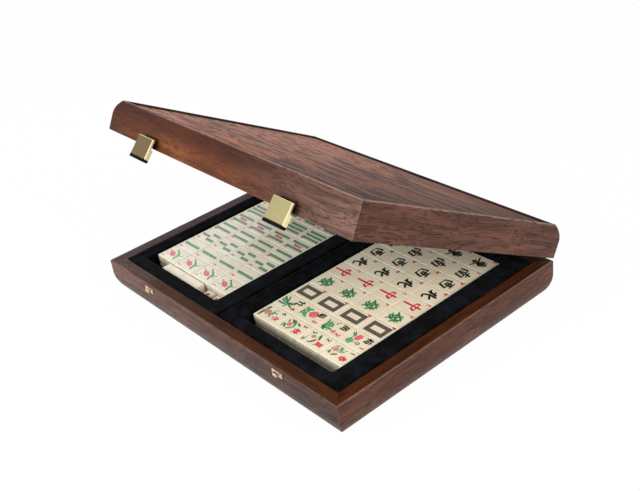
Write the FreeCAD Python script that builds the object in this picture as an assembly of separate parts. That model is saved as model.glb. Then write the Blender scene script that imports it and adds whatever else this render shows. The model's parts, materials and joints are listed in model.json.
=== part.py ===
import FreeCAD
import Part
import math
import os

# A mahjong set in a shallow hinged wooden case.
# All lengths are in millimetres and all angles in degrees.
# +X runs right along the case's front, +Y towards its hinges, +Z up.
# The origin is the centre of the underside.

# Tiles
tile_length = 28.6
tile_width = 20.95
tile_thickness = 11.0
tile_edge_radius = 0.8
tile_gap = 0.2
tile_columns = 4
tile_layers = 2

# Rows of the two upper layers, from the front of the case to its back
left_rows = ["bamboo_one", "bamboo_two", "bamboo_three", "bamboo_four", "bamboo_five",
             "bamboo_six", "bamboo_seven", "bamboo_eight", "bamboo_nine"]
right_rows = ["seasons", "flowers", "white_dragons", "green_dragons", "red_dragons",
              "north_winds", "west_winds", "south_winds", "east_winds"]
tile_rows = len(left_rows)

# Dice and blank spare tiles
spare_count = 2
dice_count = 2
dice_size = 11.5
dice_edge_radius = 1.3
dice_spacing = 2.3
dice_end_gap = 4.2
dice_rest_height = 5.0
dice_rest_margin = 1.0
spare_gap = 5.3
loose_clearance = 0.3

# Velvet trays, borders measured from a tray's edge to its well
left_outer_border = 12.2
left_inner_border = 21.8
right_inner_border = 18.3
right_outer_border = 22.6
front_border = 14.0
back_border = 13.15
left_slide = 0.0
right_slide = 2.0
well_clearance = 0.4
tray_gap = 0.3
tray_floor = 2.5
tray_drop = 1.0
tile_drop = 3.0
tray_edge_round = 1.2

# Wooden frames
rail_thickness = 12.2
edge_chamfer = 0.5
base_straight = 13.5
base_inset = 5.0
lid_straight = 15.0
lid_inset = 5.2
lid_lip = 2.3
lid_hollow = 21.5
lid_gap = 0.3
bottom_panel = 3.0
bottom_rabbet = 4.0
panel_clearance = 0.1
lid_panel = 4.0
panel_recess = 2.0
lining_thickness = 1.5
lining_clearance = 0.3

# Hinges
open_angle = 29.3
hinge_inset = 70.0
hinge_length = 40.0
hinge_standoff = 3.0
knuckle_radius = 2.5
knuckle_count = 5
knuckle_gap = 0.3
knuckle_clearance = 0.35
hinge_pin_radius = 1.0
hinge_pin_overhang = 0.6
leaf_thickness = 1.0
leaf_height = 11.0
leaf_edge_gap = 0.3
leaf_corner = 1.5
leaf_screw_spread = 13.0
leaf_screw_height = 6.5

# Screws
screw_head_radius = 1.8
screw_head_height = 0.6
screw_shank_radius = 0.8
screw_shank_length = 7.0
screw_slot = 0.5
screw_clearance = 0.05
running_gap = 0.06
press_gap = 0.02

# Clasps, as they stand with the lid closed and the cover flat
clasp_inset = 71.1
clasp_tilt = 13.7
cover_width = 23.2
cover_height = 18.5
cover_top = 8.4
cover_standoff = 6.9
cover_sheet = 1.0
cover_bevel = 0.6
upper_flange = 2.2
lower_flange = 4.4
flange_step = 0.4
pin_height = 6.5
pin_standoff = 3.2
clasp_pin_radius = 0.8
clasp_pin_overhang = 0.4
bracket_width = 18.0
bracket_sheet = 0.8
bracket_bottom = 1.0
bracket_top = 10.0
ear_width = 1.2
ear_radius = 1.3
tab_width = 1.2
tab_gap = 0.3
tab_radius = 1.6
bracket_screw_spread = 5.0
bracket_screw_height = 3.0
clasp_screw_radius = 1.4
spring_width = 6.0
spring_sheet = 0.3
spring_root = 8.0
spring_bend = 5.0
spring_foot = 1.8
spring_slack = 0.4
latch_sheet = 1.2
latch_top = 3.0
latch_side_gap = 0.2
lip_drop = 2.6
lip_depth = 4.4
lip_chamfer = 0.5
hook_width = 5.0
hook_thickness = 1.3
hook_clearance = 0.35

# Keepers on the base
keeper_width = 13.0
keeper_height = 5.5
keeper_centre = 4.75
keeper_sheet = 0.8
keeper_corner = 1.2
lug_width = 5.0
lug_height = 3.0
lug_reach = 3.0
lug_round = 0.8
keeper_screw_spread = 4.5
keeper_screw_radius = 1.2
keeper_screw_head = 0.4

# One overrun serves every cut, and places closer than the tolerance count as equal
overrun = 1.0
tolerance = 0.02

# Sizes that follow from the ones above
block_width = tile_columns * tile_length + (tile_columns - 1) * tile_gap
block_length = tile_rows * tile_width + (tile_rows - 1) * tile_gap
well_width = block_width + well_clearance + well_clearance
finger_gap = max(tile_thickness, dice_size) + loose_clearance + loose_clearance
well_length = finger_gap + block_length + well_clearance
left_tray_width = left_outer_border + well_width + left_inner_border
right_tray_width = right_inner_border + well_width + right_outer_border
tray_length = front_border + well_length + back_border
inner_width = tray_gap + left_tray_width + tray_gap + right_tray_width + tray_gap
inner_depth = tray_gap + tray_length + tray_gap
case_width = inner_width + rail_thickness + rail_thickness
case_depth = inner_depth + rail_thickness + rail_thickness
base_height = bottom_panel + tray_floor + tile_layers * tile_thickness + tile_drop
lid_ledge = lid_hollow + lining_thickness
lid_height = lid_ledge + lid_panel + panel_recess
front_y = -case_depth / 2
back_y = case_depth / 2
lid_bottom = base_height + lid_gap
hinge_y = back_y + hinge_standoff
hinge_z = base_height + lid_gap / 2
floor_top = bottom_panel + tray_floor

X_AXIS = FreeCAD.Vector(1, 0, 0)
Y_AXIS = FreeCAD.Vector(0, 1, 0)
Z_AXIS = FreeCAD.Vector(0, 0, 1)
ORIGIN = FreeCAD.Vector(0, 0, 0)


def vec(x, y, z):
    return FreeCAD.Vector(x, y, z)


def box(x0, x1, y0, y1, z0, z1):
    return Part.makeBox(x1 - x0, y1 - y0, z1 - z0, vec(x0, y0, z0))


def moved(shape, x, y, z):
    copy = shape.copy()
    copy.translate(vec(x, y, z))
    return copy


def turned(shape, centre, axis, angle):
    copy = shape.copy()
    copy.rotate(centre, axis, angle)
    return copy


def edges_along_y(shape):
    return [edge for edge in shape.Edges
            if abs(edge.Vertexes[0].X - edge.Vertexes[-1].X) < tolerance
            and abs(edge.Vertexes[0].Z - edge.Vertexes[-1].Z) < tolerance]


def opened(shape):
    """A piece of the closed lid, swung to the angle at which the case rests."""
    return turned(shape, vec(0, hinge_y, hinge_z), X_AXIS, -open_angle)


def save(name, solids):
    shape = solids[0] if len(solids) == 1 else Part.makeCompound(solids)
    shape.exportStep("parts/" + name + ".step")


# Tiles, spare tiles and dice

def rounded_block(length, width, height, radius):
    block = Part.makeBox(length, width, height)
    return block.makeFillet(min(radius, min(length, width, height) / 3), block.Edges)


tile = rounded_block(tile_length, tile_width, tile_thickness, tile_edge_radius)


def tile_row(left, slide, row, level):
    """Four tiles side by side, their long sides along X, slid forward from the well's back."""
    y = well_y + finger_gap - slide + row * (tile_width + tile_gap)
    z = floor_top + level * tile_thickness
    return [moved(tile, left + column * (tile_length + tile_gap), y, z) for column in range(tile_columns)]


left_tray_x = -inner_width / 2 + tray_gap
right_tray_x = left_tray_x + left_tray_width + tray_gap
left_well_x = left_tray_x + left_outer_border
right_well_x = right_tray_x + right_inner_border
well_y = front_y + rail_thickness + tray_gap + front_border
dice_step = dice_size + dice_spacing
dice_left = left_well_x + well_width - dice_end_gap - dice_count * dice_step + dice_spacing


def dice():
    """Dice in a row on the left tray's low rest."""
    die = rounded_block(dice_size, dice_size, dice_size, dice_edge_radius)
    y = well_y + loose_clearance
    return [moved(die, dice_left + index * dice_step, y, floor_top + dice_rest_height)
            for index in range(dice_count)]


def spare_tiles():
    """Blank tiles on their long edges in the left tray's front gap, left of the dice."""
    standing = turned(tile, ORIGIN, X_AXIS, 90)
    step = tile_length + tile_gap
    start = dice_left - spare_gap - spare_count * tile_length - (spare_count - 1) * tile_gap
    y = well_y + loose_clearance + tile_thickness
    return [moved(standing, start + index * step, y, floor_top) for index in range(spare_count)]


# Trays

def dice_rest():
    """A low block across the left well's front, on which the dice stand."""
    right = dice_left + (dice_count - 1) * dice_step + dice_size
    return box(dice_left - dice_rest_margin, right + dice_rest_margin,
               well_y, well_y + loose_clearance + dice_size, floor_top, floor_top + dice_rest_height)


def tray(x, width, outer, inner_start):
    """A velvet-covered board with one deep well and softened upper edges."""
    y = front_y + rail_thickness + tray_gap
    top = base_height - tray_drop
    body = box(x, x + width, y, y + tray_length, bottom_panel, top)
    well = box(inner_start, inner_start + well_width, well_y, well_y + well_length, floor_top, top + overrun)
    hollow = body.cut(well)
    rim = [edge for edge in hollow.Edges
           if abs(edge.BoundBox.ZMin - top) < tolerance and abs(edge.BoundBox.ZMax - top) < tolerance]
    return hollow.makeFillet(min(tray_edge_round, outer / 3), rim)


# Wooden frames

def segment(a, b):
    return Part.LineSegment(vec(0, *a), vec(0, *b)).toShape()


def bulge(straight_end, far_end, rise):
    """The convex stretch of an outer face: it leaves the upright tangentially."""
    inset = far_end[0] - straight_end[0]
    radius = (inset * inset + rise * rise) / (inset + inset)
    half = math.asin(rise / radius) / 2
    down = math.copysign(radius * math.sin(half), far_end[1] - straight_end[1])
    middle = (straight_end[0] + radius - radius * math.cos(half), straight_end[1] + down)
    return Part.Arc(vec(0, *straight_end), vec(0, *middle), vec(0, *far_end)).toShape()


def outline(points, bulge_start, rise):
    """Join the points in order; the stretch that leaves bulge_start is the convex one."""
    edges = []
    for point, following in zip(points, points[1:] + points[:1]):
        if point == bulge_start:
            edges.append(bulge(point, following, rise))
        else:
            edges.append(segment(point, following))
    return Part.Face(Part.Wire(edges))


def base_profile():
    """Section of a base rail: distance in from the outer face, height above the underside."""
    rise = base_height - base_straight
    inner = rail_thickness
    foot = rail_thickness - bottom_rabbet
    points = [(edge_chamfer, base_height), (0, base_height - edge_chamfer), (0, rise), (base_inset, 0),
              (foot, 0), (foot, bottom_panel), (inner, bottom_panel),
              (inner, base_height - edge_chamfer), (inner - edge_chamfer, base_height)]
    return outline(points, (0, rise), rise)


def lid_profile():
    """Section of a lid rail, with the ledge that the top panel lies on."""
    rise = lid_height - lid_straight
    ledge = lid_inset + lid_lip
    inner = rail_thickness
    points = [(edge_chamfer, 0), (0, edge_chamfer), (0, lid_straight), (lid_inset, lid_height),
              (ledge, lid_height), (ledge, lid_ledge), (inner, lid_ledge),
              (inner, edge_chamfer), (inner - edge_chamfer, 0)]
    return outline(points, (0, lid_straight), rise)


def mitred_rail(profile, length, height):
    """A rail along X with its outer face at y = 0 and 45 degree ends."""
    half = length / 2
    bar = moved(profile.extrude(vec(length, 0, 0)), -half, 0, 0)
    inner = half - rail_thickness
    corners = [vec(-half, 0, 0), vec(half, 0, 0),
               vec(inner, rail_thickness, 0), vec(-inner, rail_thickness, 0)]
    plan = Part.Face(Part.makePolygon(corners + corners[:1]))
    return bar.common(plan.extrude(vec(0, 0, height)))


def frame(profile, height):
    """Front, right, back and left rails of one half of the case."""
    long_rail = mitred_rail(profile, case_width, height)
    short_rail = mitred_rail(profile, case_depth, height)
    return {
        "front": moved(long_rail, 0, front_y, 0),
        "right": moved(turned(short_rail, ORIGIN, Z_AXIS, 90), case_width / 2, 0, 0),
        "back": moved(turned(long_rail, ORIGIN, Z_AXIS, 180), 0, back_y, 0),
        "left": moved(turned(short_rail, ORIGIN, Z_AXIS, -90), -case_width / 2, 0, 0),
    }


def flat_panel(inset, low, high):
    x = case_width / 2 - inset
    y = case_depth / 2 - inset
    return box(-x, x, -y, y, low, high)


# Screws

def screw(head_radius, head_height):
    """A slotted screw at the origin, its shank along +Y and its head towards -Y."""
    head = Part.makeCylinder(head_radius, head_height, vec(0, -head_height, 0), Y_AXIS)
    dome = min(head_height, head_radius) / 2
    head = head.makeFillet(dome, [edge for edge in head.Edges
                                  if edge.BoundBox.YMax < -head_height / 2])
    slot = box(-head_radius, head_radius, -head_height - overrun, -head_height / 2,
               -screw_slot / 2, screw_slot / 2)
    shank = Part.makeCylinder(screw_shank_radius, screw_shank_length, ORIGIN, Y_AXIS)
    return head.cut(slot).fuse(shank)


def screw_hole():
    radius = screw_shank_radius + screw_clearance
    reach = screw_shank_length + overrun
    return Part.makeCylinder(radius, reach + overrun, vec(0, -overrun, 0), Y_AXIS)


# Hinges

knuckle_length = (hinge_length - (knuckle_count - 1) * knuckle_gap) / knuckle_count
hinge_centres = [-case_width / 2 + hinge_inset, case_width / 2 - hinge_inset]


def knuckle_span(index):
    start = -hinge_length / 2 + index * (knuckle_length + knuckle_gap)
    return start, start + knuckle_length


def along_axis(radius, start, end):
    """A cylinder on the hinge axis between two places along X."""
    return Part.makeCylinder(radius, end - start, vec(start, hinge_y, hinge_z), X_AXIS)


def hinge_leaf(low, high, own, other, hole):
    """A plate on the back face with its own knuckles, cleared round the other leaf's."""
    half = hinge_length / 2
    leaf = box(-half, half, back_y, back_y + leaf_thickness, low, high)
    tall = edges_along_y(leaf)
    leaf = leaf.makeFillet(leaf_corner, [edge for edge in tall
                                         if abs(edge.Vertexes[0].Z - hinge_z) > leaf_corner])
    clear_radius = knuckle_radius + knuckle_clearance
    for index in other:
        start, end = knuckle_span(index)
        leaf = leaf.cut(along_axis(clear_radius, start - knuckle_gap, end + knuckle_gap))
    for index in own:
        start, end = knuckle_span(index)
        side = box(start, end, back_y, hinge_y, min(low, hinge_z), max(high, hinge_z))
        web = side.common(along_axis(knuckle_radius, start, end))
        leaf = leaf.fuse(along_axis(knuckle_radius, start, end)).fuse(web)
    leaf = leaf.removeSplitter()
    return leaf.cut(along_axis(hinge_pin_radius + hole, -half - overrun, half + overrun))


def leaf_screws(z):
    """Places of a leaf's three screws, in from the back."""
    return [(place, back_y + leaf_thickness, z) for place in (-leaf_screw_spread, 0, leaf_screw_spread)]


def facing_back(shape):
    return turned(shape, ORIGIN, Z_AXIS, 180)


# Clasps, built flat on the closed lid with x = 0 in the middle of the clasp

clasp_centres = [-case_width / 2 + clasp_inset, case_width / 2 - clasp_inset]
cover_front = front_y - cover_standoff
cover_back = cover_front + cover_sheet
cover_low = lid_bottom + cover_top - cover_height
cover_high = lid_bottom + cover_top
pin_y = front_y - pin_standoff
pin_z = lid_bottom + pin_height


def clasp_cylinder(radius, half_length):
    return Part.makeCylinder(radius, half_length + half_length, vec(-half_length, pin_y, pin_z), X_AXIS)


def clasp_cover():
    """A bevelled plate with a top flange, stepped side flanges and two tabs on the pin."""
    half = cover_width / 2
    plate = box(-half, half, cover_front, cover_back, cover_low, cover_high)
    rim = [edge for edge in plate.Edges if edge.BoundBox.YMax < cover_front + tolerance]
    cover = plate.makeChamfer(cover_bevel, rim)
    inner = half - cover_sheet
    cover = cover.fuse(box(-half + cover_bevel, half - cover_bevel, cover_back, cover_front + upper_flange,
                           cover_high - cover_sheet, cover_high))
    for side in (-1, 1):
        near, far = sorted((side * inner, side * half))
        step = lid_bottom - flange_step
        cover = cover.fuse(box(near, far, cover_back, cover_front + upper_flange, step, cover_high))
        cover = cover.fuse(box(near, far, cover_back, cover_front + lower_flange, cover_low, step))
        outer = bracket_width / 2 - ear_width - tab_gap
        near, far = sorted((side * (outer - tab_width), side * outer))
        tab = box(near, far, cover_back, pin_y, pin_z - tab_radius, pin_z + tab_radius)
        tab = tab.fuse(Part.makeCylinder(tab_radius, far - near, vec(near, pin_y, pin_z), X_AXIS))
        cover = cover.fuse(tab)
    cover = cover.removeSplitter()
    return cover.cut(clasp_cylinder(clasp_pin_radius + running_gap, half))


def clasp_latch():
    """The latch plate behind the cover, its lip below the cover and its hook towards the case."""
    half = cover_width / 2
    inner = half - cover_sheet - latch_side_gap
    plate_back = cover_back + latch_sheet
    plate = box(-inner, inner, cover_back, plate_back, cover_low, lid_bottom + latch_top)
    lip = box(-half, half, cover_front, cover_front + lip_depth, cover_low - lip_drop, cover_low)
    low_edges = [edge for edge in lip.Edges if edge.BoundBox.ZMax < cover_low - lip_drop + tolerance]
    lip = lip.makeChamfer(lip_chamfer, low_edges)
    hook_top = base_height - keeper_centre - lug_height / 2 - hook_clearance
    reach = front_y - keeper_sheet - hook_clearance
    hook = box(-hook_width / 2, hook_width / 2, cover_back, reach, hook_top - hook_thickness, hook_top)
    return plate.fuse(lip).fuse(hook).removeSplitter()


def clasp_bracket():
    """The plate on the lid with two rounded ears for the pin."""
    half = bracket_width / 2
    plate_front = front_y - bracket_sheet
    bracket = box(-half, half, plate_front, front_y, lid_bottom + bracket_bottom, lid_bottom + bracket_top)
    for side in (-1, 1):
        near, far = sorted((side * (half - ear_width), side * half))
        ear = box(near, far, pin_y, plate_front, pin_z - ear_radius, pin_z + ear_radius)
        ear = ear.fuse(Part.makeCylinder(ear_radius, far - near, vec(near, pin_y, pin_z), X_AXIS))
        bracket = bracket.fuse(ear)
    bracket = bracket.removeSplitter().cut(clasp_cylinder(clasp_pin_radius + press_gap, half + overrun))
    for place in bracket_screw_places():
        bracket = bracket.cut(moved(screw_hole(), *place))
    return bracket


def bracket_screw_places():
    y = front_y - bracket_sheet
    return [(x, y, lid_bottom + bracket_screw_height) for x in (-bracket_screw_spread, bracket_screw_spread)]


def clasp_spring():
    """A leaf that lies on the bracket and bends out to the back of the latch plate."""
    plate_front = front_y - bracket_sheet
    tip = cover_back + latch_sheet + spring_slack
    points = [(plate_front, spring_root), (plate_front, spring_bend), (tip + spring_sheet, spring_foot),
              (tip, spring_foot), (plate_front - spring_sheet, spring_bend),
              (plate_front - spring_sheet, spring_root)]
    corners = [vec(-spring_width / 2, y, lid_bottom + z) for y, z in points]
    return Part.Face(Part.makePolygon(corners + corners[:1])).extrude(vec(spring_width, 0, 0))


def swung(shape):
    """A piece of the cover, swung from flat to the tilt at which it rests on the open lid."""
    return opened(turned(shape, vec(0, pin_y, pin_z), X_AXIS, -clasp_tilt))


# Keepers

def keeper():
    """A small plate on the base with the lug that the hook catches under."""
    half = keeper_width / 2
    centre = base_height - keeper_centre
    face = front_y - keeper_sheet
    plate = box(-half, half, face, front_y, centre - keeper_height / 2, centre + keeper_height / 2)
    plate = plate.makeFillet(keeper_corner, edges_along_y(plate))
    lug = box(-lug_width / 2, lug_width / 2, face - lug_reach, face, centre - lug_height / 2,
              centre + lug_height / 2)
    nose = [edge for edge in lug.Edges if edge.BoundBox.YMax < face - lug_reach + tolerance]
    catch = plate.fuse(lug.makeFillet(lug_round, nose)).removeSplitter()
    for place in keeper_screw_places():
        catch = catch.cut(moved(screw_hole(), *place))
    return catch


def keeper_screw_places():
    z = base_height - keeper_centre
    return [(x, front_y - keeper_sheet, z) for x in (-keeper_screw_spread, keeper_screw_spread)]


def build_tiles():
    left = left_well_x + well_clearance
    right = right_well_x + well_clearance
    for row, name in enumerate(left_rows):
        save(name, tile_row(left, left_slide, row, tile_layers - 1))
    for row, name in enumerate(right_rows):
        save(name, tile_row(right, right_slide, row, tile_layers - 1))
    lower = range(tile_layers - 1)
    for name, start, slide in (("circle_tiles", left, left_slide), ("character_tiles", right, right_slide)):
        save(name, [piece for level in lower for row in range(tile_rows)
                    for piece in tile_row(start, slide, row, level)])
    save("spare_tiles", spare_tiles())
    save("dice", dice())


def build_trays():
    left = tray(left_tray_x, left_tray_width, left_outer_border, left_well_x)
    save("left_tray", [left.fuse(dice_rest()).removeSplitter()])
    save("right_tray", [tray(right_tray_x, right_tray_width, right_inner_border, right_well_x)])


def build_base():
    rails = frame(base_profile(), base_height)
    leaf_low = hinge_z - leaf_height
    leaf_high = hinge_z - leaf_edge_gap
    own = range(0, knuckle_count, 2)
    other = range(1, knuckle_count, 2)
    leaf = hinge_leaf(leaf_low, leaf_high, own, other, press_gap)
    hinge_screw = facing_back(screw(screw_head_radius, screw_head_height))
    hinge_hole = facing_back(screw_hole())
    leaves = []
    screws = []
    for centre in hinge_centres:
        placed = moved(leaf, centre, 0, 0)
        for x, y, z in leaf_screws(hinge_z - leaf_screw_height):
            hole = moved(hinge_hole, centre + x, y, z)
            placed = placed.cut(hole)
            rails["back"] = rails["back"].cut(hole)
            screws.append(moved(hinge_screw, centre + x, y, z))
        leaves.append(placed)
    save("hinge_base_leaves", leaves)
    save("hinge_base_screws", screws)
    half = hinge_length / 2 + hinge_pin_overhang
    save("hinge_pins", [moved(along_axis(hinge_pin_radius, -half, half), centre, 0, 0)
                        for centre in hinge_centres])

    keeper_screw = screw(keeper_screw_radius, keeper_screw_head)
    keeper_screws = []
    for centre in clasp_centres:
        for x, y, z in keeper_screw_places():
            rails["front"] = rails["front"].cut(moved(screw_hole(), centre + x, y, z))
            keeper_screws.append(moved(keeper_screw, centre + x, y, z))
    save("keepers", [moved(keeper(), centre, 0, 0) for centre in clasp_centres])
    save("keeper_screws", keeper_screws)
    for side, rail in rails.items():
        save("base_" + side + "_rail", [rail])
    save("base_bottom_panel", [flat_panel(rail_thickness - bottom_rabbet + panel_clearance, 0, bottom_panel)])


def build_lid():
    rails = {side: moved(rail, 0, 0, lid_bottom) for side, rail in frame(lid_profile(), lid_height).items()}
    leaf_low = hinge_z + leaf_edge_gap
    leaf_high = hinge_z + leaf_height
    own = range(1, knuckle_count, 2)
    other = range(0, knuckle_count, 2)
    leaf = hinge_leaf(leaf_low, leaf_high, own, other, running_gap)
    hinge_screw = facing_back(screw(screw_head_radius, screw_head_height))
    hinge_hole = facing_back(screw_hole())
    leaves = []
    screws = []
    for centre in hinge_centres:
        placed = moved(leaf, centre, 0, 0)
        for x, y, z in leaf_screws(hinge_z + leaf_screw_height):
            hole = moved(hinge_hole, centre + x, y, z)
            placed = placed.cut(hole)
            rails["back"] = rails["back"].cut(hole)
            screws.append(opened(moved(hinge_screw, centre + x, y, z)))
        leaves.append(opened(placed))
    save("hinge_lid_leaves", leaves)
    save("hinge_lid_screws", screws)

    bracket_screw = screw(clasp_screw_radius, keeper_screw_head)
    screws = []
    for centre in clasp_centres:
        for x, y, z in bracket_screw_places():
            rails["front"] = rails["front"].cut(moved(screw_hole(), centre + x, y, z))
            screws.append(opened(moved(bracket_screw, centre + x, y, z)))
    save("clasp_screws", screws)
    pin_half = bracket_width / 2 + clasp_pin_overhang
    save("clasp_brackets", [opened(moved(clasp_bracket(), centre, 0, 0)) for centre in clasp_centres])
    save("clasp_springs", [opened(moved(clasp_spring(), centre, 0, 0)) for centre in clasp_centres])
    save("clasp_pins", [opened(moved(clasp_cylinder(clasp_pin_radius, pin_half), centre, 0, 0))
                        for centre in clasp_centres])
    for side, rail in rails.items():
        save("lid_" + side + "_rail", [opened(rail)])
    panel_inset = lid_inset + lid_lip + panel_clearance
    low = lid_bottom + lid_ledge
    save("lid_top_panel", [opened(flat_panel(panel_inset, low, low + lid_panel))])
    save("lid_lining", [opened(flat_panel(rail_thickness + lining_clearance, low - lining_thickness, low))])


def build_clasps():
    for side, centre in zip(("left", "right"), clasp_centres):
        save(side + "_clasp_cover", [moved(swung(clasp_cover()), centre, 0, 0)])
        save(side + "_clasp_latch", [moved(swung(clasp_latch()), centre, 0, 0)])


def report(label, point):
    print("%s x %.4f y %.4f z %.4f" % (label, point.x, point.y, point.z))


os.makedirs("parts", exist_ok=True)
build_tiles()
build_trays()
build_base()
build_lid()
build_clasps()
pin_point = Part.Vertex(0, pin_y, pin_z)
report("hinge axis at", vec(0, hinge_y, hinge_z))
report("clasp axis at", opened(pin_point).Point)
print("case %.2f by %.2f, base %.2f high, lid %.2f high" % (case_width, case_depth, base_height, lid_height))
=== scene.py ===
import json
import math

import bpy
import numpy as np
from mathutils import Matrix, Vector


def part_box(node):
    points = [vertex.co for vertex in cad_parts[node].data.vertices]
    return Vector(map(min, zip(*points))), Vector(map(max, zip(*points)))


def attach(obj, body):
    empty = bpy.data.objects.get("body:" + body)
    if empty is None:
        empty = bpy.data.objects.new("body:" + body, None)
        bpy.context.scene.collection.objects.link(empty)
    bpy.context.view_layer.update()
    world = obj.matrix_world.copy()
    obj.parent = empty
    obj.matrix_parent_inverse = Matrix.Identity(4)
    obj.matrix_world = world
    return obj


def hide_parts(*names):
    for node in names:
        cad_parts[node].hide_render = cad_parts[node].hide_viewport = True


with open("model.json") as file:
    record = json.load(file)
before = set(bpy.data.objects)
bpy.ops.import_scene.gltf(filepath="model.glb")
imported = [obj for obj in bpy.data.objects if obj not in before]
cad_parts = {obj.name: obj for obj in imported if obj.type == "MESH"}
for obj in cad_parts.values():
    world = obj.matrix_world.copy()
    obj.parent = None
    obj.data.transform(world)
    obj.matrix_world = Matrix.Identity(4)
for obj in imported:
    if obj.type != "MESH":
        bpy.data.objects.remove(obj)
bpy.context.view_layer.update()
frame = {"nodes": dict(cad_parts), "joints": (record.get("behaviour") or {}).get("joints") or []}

# A mahjong set in a hinged wooden case. Metres, +X along the case's front, +Y to its hinges, +Z up.
cadNodes = frame["nodes"]
mm = 0.001
print("frame loaded,", len(cadNodes), "nodes")


# Helpers for shader nodes

def tint(red, green, blue):  # a colour as it is seen, 0 to 255, as the linear light that shaders take
    seen = np.array([red, green, blue]) / 255.0
    linear = np.where(seen <= 0.04045, seen / 12.92, ((seen + 0.055) / 1.055) ** 2.4)
    return (*map(float, linear), 1.0)


def addNode(tree, kind, inputs=None, **settings):
    node = tree.nodes.new(kind)
    for name, value in settings.items():
        setattr(node, name, value)
    for name, value in (inputs or {}).items():
        if isinstance(value, bpy.types.NodeSocket):
            tree.links.new(value, node.inputs[name])
        else:
            node.inputs[name].default_value = value
    return node


def calc(tree, operation, first, second=0.0, third=0.0, clamp=False):
    inputs = {0: first, 1: second, 2: third}
    return addNode(tree, "ShaderNodeMath", inputs, operation=operation, use_clamp=clamp).outputs[0]


def times(tree, first, second):
    return calc(tree, "MULTIPLY", first, second)


def minus(tree, first, second):
    return calc(tree, "SUBTRACT", first, second)


def absolute(tree, value):
    return calc(tree, "ABSOLUTE", value)


def scale(tree, value, by, plus, clamp=False):
    return calc(tree, "MULTIPLY_ADD", value, by, plus, clamp)


def spread(tree, value, low, high, start=0.0, end=1.0, smooth=True):  # low..high of value becomes start..end
    kind = "SMOOTHSTEP" if smooth else "LINEAR"
    inputs = {"Value": value, "From Min": low, "From Max": high, "To Min": start, "To Max": end}
    return addNode(tree, "ShaderNodeMapRange", inputs, interpolation_type=kind).outputs["Result"]


def blendColours(tree, share, first, second, mode="MIX"):
    inputs = {0: share, 6: first, 7: second}
    return addNode(tree, "ShaderNodeMix", inputs, data_type="RGBA", blend_type=mode).outputs[2]


def shadeColour(tree, colour, by):
    return blendColours(tree, 1.0, colour, by, "MULTIPLY")


def vectorMath(tree, operation, first, second=(0.0, 0.0, 0.0)):
    return addNode(tree, "ShaderNodeVectorMath", {0: first, 1: second}, operation=operation).outputs["Vector"]


def zoom(tree, vector, by):
    node = addNode(tree, "ShaderNodeVectorMath", {0: vector, "Scale": by}, operation="SCALE")
    return node.outputs["Vector"]


def stretch(tree, vector, along):  # a stretch of X only
    return vectorMath(tree, "MULTIPLY", vector, (along, 1.0, 1.0))


def axesOf(tree, vector):
    return addNode(tree, "ShaderNodeSeparateXYZ", {0: vector}).outputs


def noise(tree, place, size, detail=2.0, roughness=0.5, colour=False):
    inputs = {"Vector": place, "Scale": size, "Detail": detail, "Roughness": roughness}
    return addNode(tree, "ShaderNodeTexNoise", inputs).outputs["Color" if colour else "Fac"]


def objectPlace(tree, turned=None):  # Object coordinates, taken into a piece's own pose by a matrix
    place = addNode(tree, "ShaderNodeTexCoord").outputs["Object"]
    if turned is None:
        return place
    inputs = {"Vector": place, "Location": turned.translation, "Rotation": turned.to_euler("XYZ")}
    return addNode(tree, "ShaderNodeMapping", inputs).outputs["Vector"]


def newMaterial(name, **constants):
    material = bpy.data.materials.new(name)
    material.use_nodes = True
    shader = material.node_tree.nodes["Principled BSDF"]
    for socket, value in constants.items():
        shader.inputs[socket.replace("_", " ")].default_value = value
    return material, material.node_tree, shader


def newGroup(name, inputs, outputs):  # a group that takes a place and numbers and gives numbers
    group = bpy.data.node_groups.new(name, "ShaderNodeTree")
    group.interface.new_socket("Vector", in_out="INPUT", socket_type="NodeSocketVector")
    for way, sockets in (("INPUT", inputs), ("OUTPUT", outputs)):
        for socket in sockets.split():
            group.interface.new_socket(socket, in_out=way, socket_type="NodeSocketFloat")
    return group, group.nodes.new("NodeGroupInput").outputs, group.nodes.new("NodeGroupOutput").inputs


def useGroup(tree, group, inputs):
    return addNode(tree, "ShaderNodeGroup", inputs, node_tree=group).outputs


def feed(tree, shader, **sources):
    for socket, source in sources.items():
        tree.links.new(source, shader.inputs[socket.replace("_", " ")])


def addBump(tree, shader, height, distance, strength=1.0):
    inputs = {"Height": height, "Distance": distance, "Strength": strength}
    feed(tree, shader, Normal=addNode(tree, "ShaderNodeBump", inputs).outputs["Normal"])


def dress(names, material):  # gives CAD nodes their finish
    for name in names:
        slots = cadNodes[name].data.materials
        slots.clear()
        slots.append(material)


def meshPiece(name, points, faces, material, smooth=True, inkColours=None):
    mesh = bpy.data.meshes.new(name)
    mesh.from_pydata(points, [], faces)
    mesh.polygons.foreach_set("use_smooth", np.full(len(mesh.polygons), smooth))
    if inkColours is not None:
        ink = mesh.color_attributes.new("ink", "FLOAT_COLOR", "POINT")
        ink.data.foreach_set("color", np.asarray(inkColours, np.float32).ravel())
    mesh.materials.append(material)
    piece = bpy.data.objects.new(name, mesh)
    bpy.context.scene.collection.objects.link(piece)
    return piece


# Shared effects

grainShape = {
    "drawn": 0.075,          # streaks and lines are drawn out along X to one over this
    "streaks": 230.0,
    "lines": 800.0,
    "lineDrawn": 1.5,        # how much shorter the lines are than the streaks
    "bends": 34.0,
    "clouds": 30.0,
    "cloudDrawn": 0.4,
    "lineCut": (0.51, 0.6),  # where a thin line starts and is full
    "poreCut": (0.54, 0.66),
}


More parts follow.
